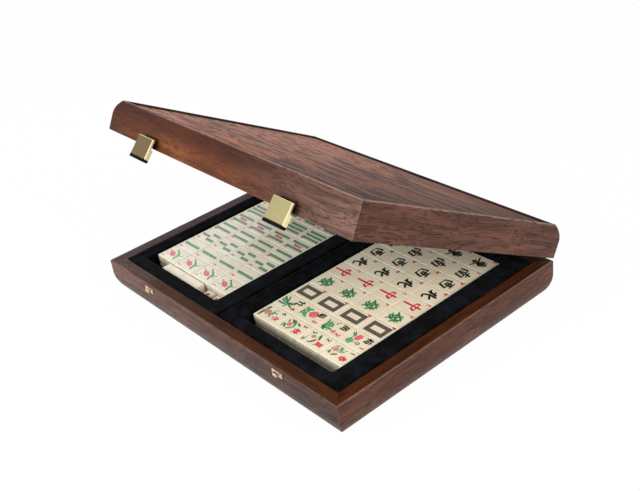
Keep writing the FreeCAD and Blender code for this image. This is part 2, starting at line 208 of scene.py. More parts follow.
def makeWoodFigure():
    # Streaks, thin dark lines and slow clouds drawn out along X, on lines that wander as much as asked
    group, given, out = newGroup("woodFigure", "Seed Wander", "Streak Lines Cloud Height")
    seed = given["Seed"]
    shift = addNode(group, "ShaderNodeCombineXYZ", {"X": seed, "Y": seed, "Z": seed})
    place = vectorMath(group, "ADD", given["Vector"], shift.outputs[0])
    slow = stretch(group, place, grainShape["cloudDrawn"])
    bends = noise(group, slow, grainShape["bends"], colour=True)
    bends = vectorMath(group, "SUBTRACT", bends, (0.5, 0.5, 0.5))
    drawn = stretch(group, place, grainShape["drawn"])
    wavy = vectorMath(group, "ADD", drawn, zoom(group, bends, given["Wander"]))
    streak = noise(group, wavy, grainShape["streaks"], 4.0, 0.62)
    lines = noise(group, stretch(group, wavy, grainShape["lineDrawn"]), grainShape["lines"], 2.5, 0.6)
    cloud = noise(group, slow, grainShape["clouds"])
    height = minus(group, times(group, streak, 0.4), spread(group, lines, *grainShape["poreCut"]))
    for name, value in (("Streak", streak), ("Lines", lines), ("Cloud", cloud), ("Height", height)):
        group.links.new(value, out[name])
    return group


def makeFrameParts():
    # Masks on a box-shaped frame: a painted highlight line on its upper edge and upright corners, and its top
    # and inside for painted shade
    group, given, out = newGroup("frameParts", "Wide Deep Middle Top Tuck Reach", "Worn Inside")
    place = axesOf(group, given["Vector"])
    acrossIn = minus(group, given["Wide"], absolute(group, place["X"]))
    fromMiddle = minus(group, place["Y"], given["Middle"])
    depthIn = minus(group, given["Deep"], absolute(group, fromMiddle))
    inset = minus(group, calc(group, "MINIMUM", acrossIn, depthIn), given["Tuck"])
    inset = calc(group, "DIVIDE", inset, given["Reach"])
    drop = calc(group, "DIVIDE", minus(group, given["Top"], place["Z"]), given["Reach"])
    mitre = absolute(group, minus(group, acrossIn, depthIn))
    corner = spread(group, calc(group, "DIVIDE", mitre, given["Reach"]), 0.3, 0.8, 0.6, 0.0)
    near = spread(group, absolute(group, inset), 0.9, 1.5, 1.0, 0.0)
    edge = times(group, near, spread(group, drop, 0.9, 1.5, 1.0, 0.0))
    # the top and inside, which take painted shade and reflection
    inside = times(group, spread(group, inset, 1.1, 1.7), spread(group, drop, 16.0, 20.0, 1.0, 0.0))
    # painted highlight on the upper edge and upright corners, kept off the top and inside
    worn = times(group, calc(group, "MAXIMUM", corner, edge), minus(group, 1.0, inside))
    group.links.new(worn, out["Worn"])
    group.links.new(inside, out["Inside"])
    return group


def makeBrushedMarks():
    # Fine scratches drawn out along X and slow smudges
    group, given, out = newGroup("brushedMarks", "", "Lines Smudge")
    lines = noise(group, stretch(group, given["Vector"], 0.04), 6000.0, roughness=0.6)
    group.links.new(lines, out["Lines"])
    group.links.new(noise(group, given["Vector"], 260.0), out["Smudge"])
    return group


woodFigure = makeWoodFigure()
frameParts = makeFrameParts()
brushedMarks = makeBrushedMarks()
print("shared effects made")


# Poses in which the lid is closed and the clasp covers are flat, for patterns that follow their faces

def turnBack(jointName):
    joint = next(joint for joint in frame["joints"] if joint["name"] == jointName)
    centre = Matrix.Translation(Vector(joint["pos_m"]))
    turn = Matrix.Rotation(math.radians(joint["range_deg"][0]), 4, Vector(joint["axis"]))
    return centre @ turn @ centre.inverted()


def flatPoints(name, matrix):  # a node's vertices in a turned frame
    mesh = cadNodes[name].data
    points = np.empty(len(mesh.vertices) * 3, np.float32)
    mesh.vertices.foreach_get("co", points)
    return points.reshape(-1, 3) @ np.array(matrix.to_3x3()).T + np.array(matrix.translation)


def flatBox(name, matrix):
    points = flatPoints(name, matrix)
    return points.min(axis=0), points.max(axis=0)


lidClosed = turnBack("lid_hinge")
leftCoverFlat = lidClosed @ turnBack("left_clasp_hinge")
rightCoverFlat = lidClosed @ turnBack("right_clasp_hinge")
quarterTurn = Matrix.Rotation(math.radians(-90), 4, "Z")
sides = ("front", "right", "back", "left")


# Wood

walnut = {
    "warm": tint(118, 66, 32),
    "cloudy": (0.4, 0.62),   # part of the noise that is spread, for slow clouds and for streaks
    "streaky": (0.37, 0.61),
    "cloudShade": (0.16, 0.92),  # how strongly each shades the colour, and from what
    "streakShade": (0.52, 0.69),
    "cornerBlend": (-0.112, -0.09),  # X between which the front rail's left end changes
    "patchEdge": (0.07, 0.02),   # past an orange patch's reach
    "patchRise": (0.036, 0.022),  # height at which it has gone, and up to which it is full
    "line": tint(46, 30, 25),
    "lineShare": 0.55,       # on all but the lid's front and right rails
    # colour of the painted highlight on the edges
    "worn": tint(160, 130, 116),
    "boardDark": tint(74, 50, 42),
    "boardPale": tint(112, 82, 72),
    "boardStreaky": (0.36, 0.62),
    "boardSeed": 2.2,
    "roughness": 0.42,
    "wander": 0.012,
    "poreDepth": 0.05 * mm,
    "reach": 0.7 * mm,
    "shine": 0.12,
}


def finishWood(tree, shader, colour, figure, look):  # thin dark lines on the colour, a little rougher than it
    lines = spread(tree, figure["Lines"], *grainShape["lineCut"], 0.0, look["lineShare"])
    feed(tree, shader, Base_Color=blendColours(tree, lines, colour, look["line"]),
         Roughness=scale(tree, lines, 0.2, look["roughness"]))
    addBump(tree, shader, figure["Height"], look["poreDepth"])


def makeWalnut(name, casePose, along, low, high, tuck, tones):
    material, tree, shader = newMaterial(name, Specular_IOR_Level=walnut["shine"])
    grain = useGroup(tree, woodFigure, {"Vector": objectPlace(tree, along @ casePose), "Seed": tones["seed"],
                                        "Wander": walnut["wander"]})
    place = objectPlace(tree, casePose)
    middle, half = (low + high) / 2, (high - low) / 2
    parts = useGroup(tree, frameParts, {"Vector": place, "Wide": half[0], "Deep": half[1], "Tuck": tuck,
                                        "Middle": middle[1], "Top": high[2], "Reach": walnut["reach"]})
    axes = axesOf(tree, place)
    onward = spread(tree, axes["X"], *tones["change"], smooth=False)
    colour = blendColours(tree, onward, tones["start"], tones["end"])
    cloud = spread(tree, grain["Cloud"], *walnut["cloudy"])
    if "orange" in tones:  # a ragged patch on its lower half
        centre, reach, share = tones["orange"]
        ragged = scale(tree, grain["Cloud"], 0.08, absolute(tree, minus(tree, axes["X"], centre)))
        sideways = spread(tree, ragged, *(reach + edge for edge in walnut["patchEdge"]), 0.0, share)
        lower = spread(tree, scale(tree, grain["Streak"], 0.03, axes["Z"]),
                       *(low[2] + rise for rise in walnut["patchRise"]))
        glow = times(tree, times(tree, sideways, lower), scale(tree, cloud, 0.6, 0.4))
        colour = blendColours(tree, glow, colour, walnut["warm"])
    # painted shade and reflection: the top faces and inner walls take a colour of their own, darker on most
    # rails, for the shade and dark reflections the case casts on them
    inside = tones["inside"]
    if "corner" in tones:  # its left end's top takes another colour, a paler painted shade
        inside = blendColours(tree, spread(tree, axes["X"], *walnut["cornerBlend"]), tones["corner"], inside)
    colour = blendColours(tree, parts["Inside"], colour, inside)
    shade = scale(tree, spread(tree, grain["Streak"], *walnut["streaky"]), *walnut["streakShade"])
    shade = times(tree, shade, scale(tree, cloud, *walnut["cloudShade"]))
    # painted light and shade on the upper part: a factor above one lightens it and one below one darkens it,
    # for how light falls from above
    upper = spread(tree, axes["Z"], low[2] + 0.4 * (high[2] - low[2]), high[2], 1.0, tones["upper"])
    colour = shadeColour(tree, colour, times(tree, shade, upper))
    # painted highlight where light catches the upper edge and upright corners
    worn = times(tree, parts["Worn"], tones["worn"])
    finishWood(tree, shader, blendColours(tree, worn, colour, walnut["worn"]), grain,
               {**walnut, "lineShare": tones["lines"]})
    return material


def railTones(start, inside, end=None, change=(-0.16, 0.16), upper=1.0, lines=walnut["lineShare"], **others):
    # A rail's colour to the left and right of a change in X, the colour of painted shade and reflection on
    # its top and inside, a factor of painted light for its upper half and how strong its lines are. Others:
    # the share of painted highlight on its edges, its seed, a colour of painted shade for its left end's top,
    # and an orange patch's place, reach and share
    return {"start": tint(*start), "end": tint(*(end or start)), "inside": tint(*inside), "change": change,
            "upper": upper, "lines": lines, **others}


baseTones = {
    # the front's paler left end is painted reflection, a gloss haze, and its lighter upper part is painted
    # light
    "front": railTones((94, 66, 59), (64, 35, 19), end=(62, 41, 36), upper=1.12, worn=0.15, seed=0.3,
                       corner=tint(74, 56, 54)),
    "right": railTones((82, 53, 44), (72, 38, 18), worn=0.25, seed=1.7),
    "back": railTones((90, 63, 54), (52, 32, 22), worn=0.4, seed=3.1),
    "left": railTones((88, 64, 57), (66, 52, 52), worn=0.3, seed=4.9),
}
lidTones = {
    # the lid's front and right rails have their upper parts painted darker: painted shade
    "front": railTones((72, 31, 13), (80, 55, 48), end=(106, 78, 68), change=(0.01, 0.15), upper=0.86,
                       lines=0.6, worn=0.45, seed=6.2, orange=(-0.03, 0.1, 0.85)),
    "right": railTones((86, 57, 48), (70, 48, 42), upper=0.9, lines=0.75, worn=0.5, seed=7.4),
    "back": railTones((80, 57, 50), (44, 34, 34), worn=0.2, seed=8.8),
    "left": railTones((80, 57, 50), (44, 34, 34), worn=0.2, seed=9.3),
}


def dressFrames():
    straight = Matrix.Identity(4)
    for part, tones, pose in (("base", baseTones, straight), ("lid", lidTones, lidClosed)):
        clouds = [flatPoints(part + "_" + side + "_rail", pose) for side in sides]
        low, high = np.vstack(clouds).min(axis=0), np.vstack(clouds).max(axis=0)
        atTop = clouds[0][:, 2] > high[2] - 0.05 * mm
        tuck = float(clouds[0][atTop, 1].min() - low[1])  # how far in its top edge lies
        for side in sides:
            along = straight if side in ("front", "back") else quarterTurn
            name = part + side.capitalize() + "Walnut"
            dress([part + "_" + side + "_rail"], makeWalnut(name, pose, along, low, high, tuck, tones[side]))


veneer = {
    "pale": tint(180, 131, 115),
    "rose": tint(130, 89, 77),
    "smoke": tint(96, 74, 68),
    "amber": tint(196, 132, 104),
    "line": tint(60, 44, 42),
    "lineShare": 0.46,
    "roughness": 0.5,
    "poreDepth": 0.04 * mm,
    "seed": 11.3,
    "shine": 0.02,
    "zoom": 0.5,             # broader figure than the rails have
    "paleStreaks": (0.43, 0.56),  # parts of the noise that each colour takes
    "amberClouds": (0.5, 0.64),
    "amberStreaks": (0.46, 0.56),
    "smokeBands": (0.6, 0.49),
    "smokeAcross": (-0.12, 0.0, 0.6, 1.0),  # from one X to another, and its strength there
    "swirls": (-0.1, 0.06, 0.085, 0.02),  # the same for how far the grain wanders
    "fall": (-0.15, 0.15, 1.2, 0.24),  # and for how bright the panel is
}


def dressPanel():
    # A figured veneer: swirls at the left give way to straight stripes at the right
    material, tree, shader = newMaterial("figuredVeneer", Specular_IOR_Level=veneer["shine"])
    place = objectPlace(tree, lidClosed)
    axes = axesOf(tree, place)
    wander = spread(tree, axes["X"], *veneer["swirls"])
    near = zoom(tree, place, veneer["zoom"])
    grain = useGroup(tree, woodFigure, {"Vector": near, "Seed": veneer["seed"], "Wander": wander})
    cloud, streak = grain["Cloud"], grain["Streak"]
    paler = spread(tree, streak, *veneer["paleStreaks"])
    colour = blendColours(tree, paler, veneer["rose"], veneer["pale"])
    amber = times(tree, spread(tree, cloud, *veneer["amberClouds"]),
                  spread(tree, streak, *veneer["amberStreaks"]))
    colour = blendColours(tree, amber, colour, veneer["amber"])
    bands = scale(tree, cloud, 0.5, times(tree, streak, 0.7))
    smoky = times(tree, spread(tree, bands, *veneer["smokeBands"]),
                  spread(tree, axes["X"], *veneer["smokeAcross"]))
    colour = blendColours(tree, smoky, colour, veneer["smoke"])
    shade = spread(tree, axes["X"], *veneer["fall"], smooth=False)
    fine = useGroup(tree, woodFigure, {"Vector": place, "Seed": veneer["seed"], "Wander": wander})
    finishWood(tree, shader, shadeColour(tree, colour, shade), fine, veneer)
    dress(["lid_top_panel"], material)
    board, tree, shader = newMaterial("baseBoard", Specular_IOR_Level=walnut["shine"])
    grain = useGroup(tree, woodFigure, {"Vector": objectPlace(tree), "Seed": walnut["boardSeed"],
                                        "Wander": walnut["wander"]})
    paler = spread(tree, grain["Streak"], *walnut["boardStreaky"])
    colour = blendColours(tree, paler, walnut["boardDark"], walnut["boardPale"])
    finishWood(tree, shader, colour, grain, walnut)
    dress(["base_bottom_panel"], board)


dressFrames()
dressPanel()
print("wood finished")


# Metal

brass = {
    # painted reflection: both covers' faces are one brass, painted darker than it, the left more than the
    # right, for the darker things each mirrors
    "leftFace": tint(122, 102, 72),
    "rightFace": tint(156, 147, 107),
    "polished": tint(246, 234, 188),
    "faceRoughness": 0.26,
    "polishedRoughness": 0.36,
    "faceDepth": 0.15 * mm,
    "highlightStrip": 1.0 * mm,       # painted highlight down the face's right edge
    "scratchDepth": 0.004 * mm,
}


def makeCoverBrass(name, flatPose, faceAt, edgeAt, face):
    # The flat face is dull and brushed and painted darker for what it mirrors, with a painted highlight down
    # its right edge; the bevels and flanges behind it are polished
    material, tree, shader = newMaterial(name, Metallic=1.0)
    place = objectPlace(tree, flatPose)
    marks = useGroup(tree, brushedMarks, {"Vector": place})
    axes = axesOf(tree, place)
    polished = spread(tree, axes["Y"], faceAt + brass["faceDepth"] / 2, faceAt + brass["faceDepth"])
    # painted highlight: the polished colour laid on a strip at the face's right edge
    highlightStrip = spread(tree, axes["X"], edgeAt - brass["highlightStrip"], edgeAt - 0.7 * brass["highlightStrip"], 0.0, 0.7)
    polished = calc(tree, "MAXIMUM", polished, highlightStrip)
    colour = blendColours(tree, polished, face, brass["polished"])
    rough = spread(tree, polished, 0.0, 1.0, brass["faceRoughness"], brass["polishedRoughness"])
    feed(tree, shader, Base_Color=shadeColour(tree, colour, scale(tree, marks["Smudge"], 0.2, 0.9)),
         Roughness=scale(tree, marks["Lines"], 0.1, rough))
    addBump(tree, shader, marks["Lines"], brass["scratchDepth"])
    return material


def makeMetal(name, colour, roughness, metallic=1.0, shine=0.5):
    material, tree, shader = newMaterial(name, Metallic=metallic, Specular_IOR_Level=shine)
    marks = useGroup(tree, brushedMarks, {"Vector": objectPlace(tree)})
    feed(tree, shader, Base_Color=shadeColour(tree, colour, scale(tree, marks["Smudge"], 0.3, 0.85)),
         Roughness=scale(tree, marks["Lines"], 0.12, roughness))
    addBump(tree, shader, marks["Lines"], brass["scratchDepth"])
    return material


for side, pose in (("left", leftCoverFlat), ("right", rightCoverFlat)):
    near, far = flatBox(side + "_clasp_cover", pose)
    dress([side + "_clasp_cover"],
          makeCoverBrass(side + "CoverBrass", pose, float(near[1]), float(far[0]), brass[side + "Face"]))
dress(["keepers", "keeper_screws"], makeMetal("keeperBrass", tint(208, 188, 164), 0.24))
dress(["hinge_base_leaves", "hinge_lid_leaves", "hinge_base_screws", "hinge_lid_screws"],
      makeMetal("fittingBrass", tint(206, 180, 118), 0.26))
# the brackets are painted dark brown: painted shade for the shadow behind the covers
dress(["clasp_brackets", "clasp_screws"], makeMetal("bracketBrassPaintedShade", tint(54, 40, 26), 0.5))
dress(["hinge_pins", "clasp_pins", "clasp_springs"], makeMetal("brightSteel", tint(196, 194, 190), 0.22))
# the latches are near-black and almost without shine
dress(["left_clasp_latch", "right_clasp_latch"], makeMetal("nearBlackSteel", tint(15, 9, 5), 0.7, 0.0, 0.06))
print("metal finished")


# Resin

resin = {
    "cream": tint(248, 241, 219),
    # painted light: the left block's cream is whiter than the right's, for the brighter light and sheen on it
    "litCream": tint(252, 248, 232),
    "honey": tint(236, 219, 188),
    "shaded": tint(116, 102, 62),
    "roughness": 0.3,
    "coat": 0.65,
    "coatRoughness": 0.2,
    "streakSize": 240.0,
    "streaks": (0.45, 0.72, 0.0, 0.6),  # part of the noise, and the share of honey there
    # the painted shade on the tiles' sides is made ragged by this noise
    "mottleSize": 400.0,
    "mottle": 2.6,
    "sides": (3.0, 1.3, 0.08, 0.66),  # height and mottle, and the share of shade there
}


def makeResin(name, cream, honey, blocks=None):
    # Cream resin with faint honey streaks that lean across it. Blocks: one tile's corner, and a tile with its
    # gaps, so that each tile has its own streaks and tone, and its sides, mostly front and back, take painted
    # shade that darkens them towards their underside, for the shade of the velvet well
    material, tree, shader = newMaterial(name, Subsurface_Weight=0.06, Subsurface_Scale=2 * mm,
                                         Coat_Weight=resin["coat"], Coat_Roughness=resin["coatRoughness"])
    shader.inputs["Subsurface Radius"].default_value = (1.0, 0.7, 0.4)
    place = objectPlace(tree)
    corner, step = blocks or ((0.0, 0.0, 0.0), (1.0, 1.0, 1.0))
    cell = vectorMath(tree, "DIVIDE", vectorMath(tree, "SUBTRACT", place, corner), step)
    own = addNode(tree, "ShaderNodeTexWhiteNoise", {"Vector": vectorMath(tree, "FLOOR", cell)})
    moved = vectorMath(tree, "ADD", place, own.outputs["Color"])
    leaning = addNode(tree, "ShaderNodeMapping", {"Vector": moved, "Rotation": (0.0, 0.3, 0.5),
                                                  "Scale": (0.25, 1.0, 1.0)}).outputs["Vector"]
    streaks = spread(tree, noise(tree, leaning, resin["streakSize"], 4.0, 0.6), *resin["streaks"])
    mixed = scale(tree, own.outputs["Value"], 0.25, streaks, clamp=True)
    colour = blendColours(tree, mixed, cream, honey)
    if blocks:
        # painted shade on the sides, darker towards each tile's underside, strongest on the front and back
        within = axesOf(tree, vectorMath(tree, "FRACTION", cell))["Z"]
        ragged = scale(tree, noise(tree, place, resin["mottleSize"], 3.0, 0.6), resin["mottle"], within)
        shaded = spread(tree, ragged, *resin["sides"], smooth=False)
        facing = axesOf(tree, addNode(tree, "ShaderNodeTexCoord").outputs["Normal"])["Y"]
        frontOrBack = spread(tree, absolute(tree, facing), 0.4, 0.9, 0.1, 1.0)
        colour = blendColours(tree, times(tree, shaded, frontOrBack), colour, resin["shaded"])
    feed(tree, shader, Base_Color=colour,
         Roughness=scale(tree, noise(tree, place, 420.0), 0.12, resin["roughness"] - 0.06))
    addBump(tree, shader, noise(tree, place, 160.0), 0.02 * mm)
    return material


def tileBlock(rows):  # the corner of a tray's first tile, half a gap out, and the steps from tile to tile
    first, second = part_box(rows[0]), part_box(rows[1])
    gap = (second[0].y - first[1].y) / 2
    step = (first[1].x - first[0].x + 2 * gap) / 4
    return ((first[0].x - gap, first[0].y - gap, first[0].z - gap),
            (step, second[0].y - first[0].y, first[1].z - first[0].z + 2 * gap))


bambooRows = ["bamboo_" + number for number in "one two three four five six seven eight nine".split()]
honourRows = ["seasons", "flowers", "white_dragons", "green_dragons", "red_dragons", "north_winds",
              "west_winds", "south_winds", "east_winds"]
# the left block takes the whiter cream, which is painted light
for side, cream, names in (("left", "litCream", bambooRows + ["circle_tiles"]),
                           ("right", "cream", honourRows + ["character_tiles"])):
    dress(names, makeResin(side + "Resin", resin[cream], resin["honey"], tileBlock(names)))
dress(["spare_tiles"], makeResin("spareResin", resin["cream"], resin["honey"]))
dress(["dice"], makeResin("diceResin", tint(244, 232, 224), tint(232, 214, 200)))
print("resin finished")


# Tile faces: strokes in millimetres on a tile that stands upright, x to the right and y up from its centre

inks = {
    "green": tint(52, 128, 80),
    "leaf": tint(116, 186, 138),
    "deep": tint(8, 52, 26),
    "moss": tint(92, 128, 88),
    "red": tint(208, 40, 62),
    "rose": tint(240, 122, 138),
    "dusty": tint(184, 84, 84),
    "blush": tint(226, 158, 148),
    "petal": tint(246, 152, 156),
    "crimson": tint(214, 62, 78),
    "black": tint(34, 28, 28),
    "slate": tint(84, 76, 68),
    "pale": tint(152, 144, 130),
    "grey": tint(104, 96, 76),
}
markLook = {
    "rise": 0.035,         # how far a stroke's middle stands above its edges
    "lift": 0.008,         # the lowest stroke above the tile's face
    "layer": 0.0015,       # each later stroke above the one before
    "stations": 9,
    "ringStations": 19,
}


def smoothLine(points):
    # Points along a Catmull-Rom curve through the given ones, closer together near its two ends
    points = np.asarray(points, float)
    steps = (1 - np.cos(np.pi * np.linspace(0.0, 1.0, markLook["stations"]))) / 2 * (len(points) - 1)
    index = np.minimum(np.floor(steps).astype(int), len(points) - 2)
    local = (steps - index)[:, None]
    padded = np.vstack([2 * points[0] - points[1], points, 2 * points[-1] - points[-2]])
    a, b, c, d = (padded[index + shift] for shift in range(4))
    return 0.5 * (2 * b + (c - a) * local + (2 * a - 5 * b + 4 * c - d) * local ** 2
                  + (3 * b - a - 3 * c + d) * local ** 3)


def ribbon(line, halfWidth, ahead=None):
    # Left edge, raised middle and right edge of a ribbon that follows the line
    ahead = np.gradient(line, axis=0) if ahead is None else ahead
    ahead = ahead / np.maximum(np.linalg.norm(ahead, axis=1, keepdims=True), 1e-9)
    aside = np.stack([-ahead[:, 1], ahead[:, 0]], axis=1) * halfWidth[:, None]
    flat = np.stack([line + aside, line, line - aside], axis=1)
    rise = np.zeros(flat.shape[:2] + (1,))
    rise[:, 1, 0] = markLook["rise"] * np.minimum(1.0, halfWidth / max(halfWidth.max(), 1e-9) + 0.2)
    return np.concatenate([flat, rise], axis=2)


def brush(ink, points, width, heavy=0.3):
    # A stroke with round ends; upright stretches are broader than level ones, as a brush leaves them
    points = np.array(points, float)
    for end, near in ((0, 1), (-1, -2)):
        step = points[end] - points[near]
        points[end] += step * width * 0.25 / np.linalg.norm(step)
    line = smoothLine(points)
    ahead = np.gradient(line, axis=0)
    steep = np.abs(ahead[:, 1]) / np.maximum(np.linalg.norm(ahead, axis=1), 1e-9)
    half = width / 2 * (1 - heavy + 2 * heavy * steep)
    run = np.concatenate([[0.0], np.cumsum(np.linalg.norm(np.diff(line, axis=0), axis=1))])
    fromEnd = np.clip(np.minimum(run, run[-1] - run) / half, 0.0, 1.0)
    return ink, ribbon(line, half * np.sqrt(np.clip(1 - (1 - fromEnd) ** 2, 0.0, 1.0)) + 0.01)


def leaf(ink, points, width):
    # A stroke that swells from nothing and shrinks to a point again
    line = smoothLine(points)
    share = np.linspace(0.0, 1.0, len(line))
    return ink, ribbon(line, width / 2 * np.sin(np.pi * share) ** 0.8 + 0.01)


def ring(ink, x, y, radius, width):
    # A closed ribbon round a centre
    turn = np.linspace(0.0, 2 * np.pi, markLook["ringStations"])
    line = np.stack([x + radius * np.cos(turn), y + radius * np.sin(turn)], axis=1)
    ahead = np.stack([-np.sin(turn), np.cos(turn)], axis=1)
    return ink, ribbon(line, np.full(len(turn), width / 2), ahead)


def dot(ink, x, y, radius):
    return ring(ink, x, y, radius / 2, radius)


def bar(ink, start, end, width):
    # A flat straight band with square ends
    line = np.linspace(start, end, 3)
    return ink, ribbon(line, np.full(3, width / 2))


# Characters in a box of 100 by 100: strokes with a comma between them, each its points as x y x y
characters = {
    "centre": "15 76 26 48, 15 76 88 83, 88 83 74 50, 24 50 76 52, 50 112 50 -30",
    "fortune": "22 90 46 90 32 70, 16 78 28 70, 42 84 26 58 0 32, 58 102 52 86, 54 94 76 66 102 44, "
        "80 92 66 80, 90 78 74 68, 30 60 52 62, 52 62 46 48, 28 47 46 49, 28 47 24 35 46 37, "
        "46 37 40 12 24 10, 60 64 57 50 50 44, 60 64 76 62 78 50 86 50, 54 36 80 40, 80 40 64 16 44 2, "
        "56 32 72 14 88 4",
    "east": "26 86 74 91, 52 104 50 -8, 28 72 32 50, 28 73 72 78, 72 78 68 54, 32 62 68 66, 32 50 68 54, "
        "82 62 52 38 0 12, 44 46 68 28 98 12, 32 10 44 4, 66 14 56 6",
    "south": "28 74 76 84, 56 102 46 60, 12 50 18 2, 12 52 90 68, 90 68 80 8 68 12, 36 50 42 40, "
        "62 56 56 44, 34 33 66 38, 32 18 66 22, 50 40 47 4",
    "west": "18 90 84 98, 6 58 22 0, 6 60 96 68, 96 68 78 0, 22 3 78 5, 44 92 38 34, 64 94 60 38, "
        "38 34 64 38",
    "north": "38 88 32 54 28 16, 10 60 38 70, 6 20 22 28 40 50, 56 104 54 60 60 26 74 4, 74 4 98 20, "
        "90 78 74 60 58 50",
    "spring": "20 86 80 87, 26 74 74 75, 10 61 90 62, 50 100 44 62 8 32, 54 66 94 36, 34 42 34 2, "
        "34 42 68 42 66 2, 34 22 66 22, 34 4 66 4",
    "summer": "12 94 88 94, 30 82 30 40, 30 82 72 82 70 40, 30 68 70 68, 30 54 70 54, 30 41 70 41, "
        "44 40 16 16, 34 30 76 30 52 12 10 -2, 40 24 94 -2",
    "autumn": "40 98 16 88, 6 70 50 72, 29 90 29 2, 27 64 4 32, 31 62 48 44, 60 70 54 50, 92 74 82 54, "
        "73 96 70 50 50 4, 72 46 98 4",
    "winter": "42 100 14 62, 38 86 76 86 50 56 6 36, 36 74 94 40, 44 34 62 24, 36 16 62 2",
    "plum": "6 66 44 68, 26 96 26 2, 24 60 6 28, 28 58 42 42, 66 98 50 72, 58 82 96 83, 56 60 90 61, "
        "48 36 98 37, 60 60 56 12 88 10, 88 60 84 -2",
    "orchid": "8 86 92 87, 34 98 34 76, 66 98 66 76, 18 68 18 2, 18 68 82 68 82 2, 32 48 68 49, "
        "50 62 50 12, 34 30 66 31",
    "daisy": "8 87 92 88, 34 99 34 78, 66 99 66 78, 36 74 14 50, 30 66 84 66 80 6 66 10, 28 46 68 46, "
        "48 60 48 10, 34 38 26 24, 62 40 70 26",
    "cane": "30 98 10 68, 24 80 46 80, 34 80 34 4, 70 98 54 70, 64 80 94 80, 78 80 78 4 64 10",
    "myriad": "8 87 92 88, 34 99 34 77, 66 99 66 77, 28 72 28 44, 28 72 72 72 72 44, 28 58 72 58, "
        "28 45 72 45, 50 72 50 10, 12 34 12 0, 12 34 88 34 88 4 76 8, 30 18 64 14, 58 26 70 10",
}
numerals = [
    "10 50 90 54",
    "26 74 74 76, 8 22 92 24",
    "20 86 80 88, 28 52 72 54, 8 12 92 14",
    "14 84 18 12, 14 85 88 86 82 12, 38 84 36 54 24 40, 60 84 60 48 76 46, 18 15 82 16",
    "16 88 84 89, 48 88 38 10, 24 54 76 55 70 10, 6 8 94 9",
    "44 100 56 86, 8 68 92 70, 38 56 12 10, 60 56 90 10",
    "8 50 92 66, 46 96 46 18 56 8 86 10 90 28",
    "40 84 34 48 6 10, 52 92 66 50 96 12",
    "8 66 66 68 62 20 72 6 94 10 96 28, 42 98 36 48 8 6",
]
indexMarks = {
    "1": "50 96 50 4, 52 96 32 80",
    "2": "22 76 36 94 66 94 78 76 60 50 22 6, 22 6 82 6",
    "3": "24 90 58 94 76 76 48 54, 48 54 78 30 56 6 22 14",
    "4": "62 4 62 96, 62 96 16 32, 16 32 86 32",
    "5": "76 94 32 94, 32 94 28 54, 28 54 62 60 78 34 58 8 24 12",
    "6": "70 94 38 70 24 34 44 6 72 16 70 42 32 42",
    "7": "22 92 80 92, 80 92 42 4",
    "8": "50 52 26 72 50 94 74 72 50 52, 50 52 22 28 50 4 78 28 50 52",
    "9": "70 58 40 52 28 76 50 94 72 78 70 40 40 6",
    "N": "22 4 22 96, 22 96 78 4, 78 4 78 96",
    "E": "28 94 28 6, 28 94 78 94, 28 50 68 50, 28 6 78 6",
    "S": "76 84 50 94 26 76 50 52 76 28 50 6 24 16",
    "W": "8 96 30 4, 30 4 50 70, 50 70 70 4, 70 4 92 96",
    "C": "78 82 52 96 22 64 24 32 52 4 80 18",
    "F": "28 4 28 94, 28 94 78 94, 28 52 66 52",
    "P": "28 4 28 94, 28 94 66 92 76 72 62 50 28 48",
}


def pairs(text):  # "1 2 3 4" as two points
    return np.array(text.split(), float).reshape(-1, 2)


def turns(stroke):  # a stroke's parts between its sharp corners
    points = pairs(stroke)
    steps = np.diff(points, axis=0)
    steps /= np.linalg.norm(steps, axis=1, keepdims=True)
    sharp = [0] + [i + 1 for i in range(len(steps) - 1) if steps[i] @ steps[i + 1] < 0.55] + [len(points) - 1]
    return [points[a:b + 1] for a, b in zip(sharp[:-1], sharp[1:])]


def draw(strokes, ink, x, y, size, width, heavy=0.3):
    centre = np.array([x, y])
    return [brush(ink, centre + (part - 50) * size / 100, width, heavy)
            for stroke in strokes.split(",") for part in turns(stroke)]


indexLook = {"x": -7.2, "y": 9.6, "size": 3.7, "width": 0.85}


def cornerIndex(sign, x=indexLook["x"]):
    return draw(indexMarks[sign], "red", x, indexLook["y"], indexLook["size"], indexLook["width"], 0.1)


stick = {"width": 3.2, "pitch": 2.8, "lean": 0.6, "core": 0.74, "bead": 0.56, "tall": 11.2, "short": 7.4,
         "high": 5.7}


def cane(x, y, height, ink="deep", lean=0.0):
    # A bamboo stick: a pale core under a row of leaning beads with round ends
    core = "leaf" if ink == "deep" else "rose"
    foot = np.array([x - lean * height / 2, y - height / 2])
    head = np.array([x + lean * height / 2, y + height / 2])
    strokes = [brush(core, [foot, head], stick["width"] * stick["core"], 0.0)]
    beads = int(round(height / stick["pitch"]))
    thick = height / beads * stick["bead"]
    for share in (np.arange(beads) + 0.5) / beads:
        middle = foot + (head - foot) * share
        reach = np.array([stick["width"] / 2, stick["lean"] * stick["width"] / 2])
        strokes.append(brush(ink, [middle - reach, middle + reach], thick, 0.0))
    return strokes


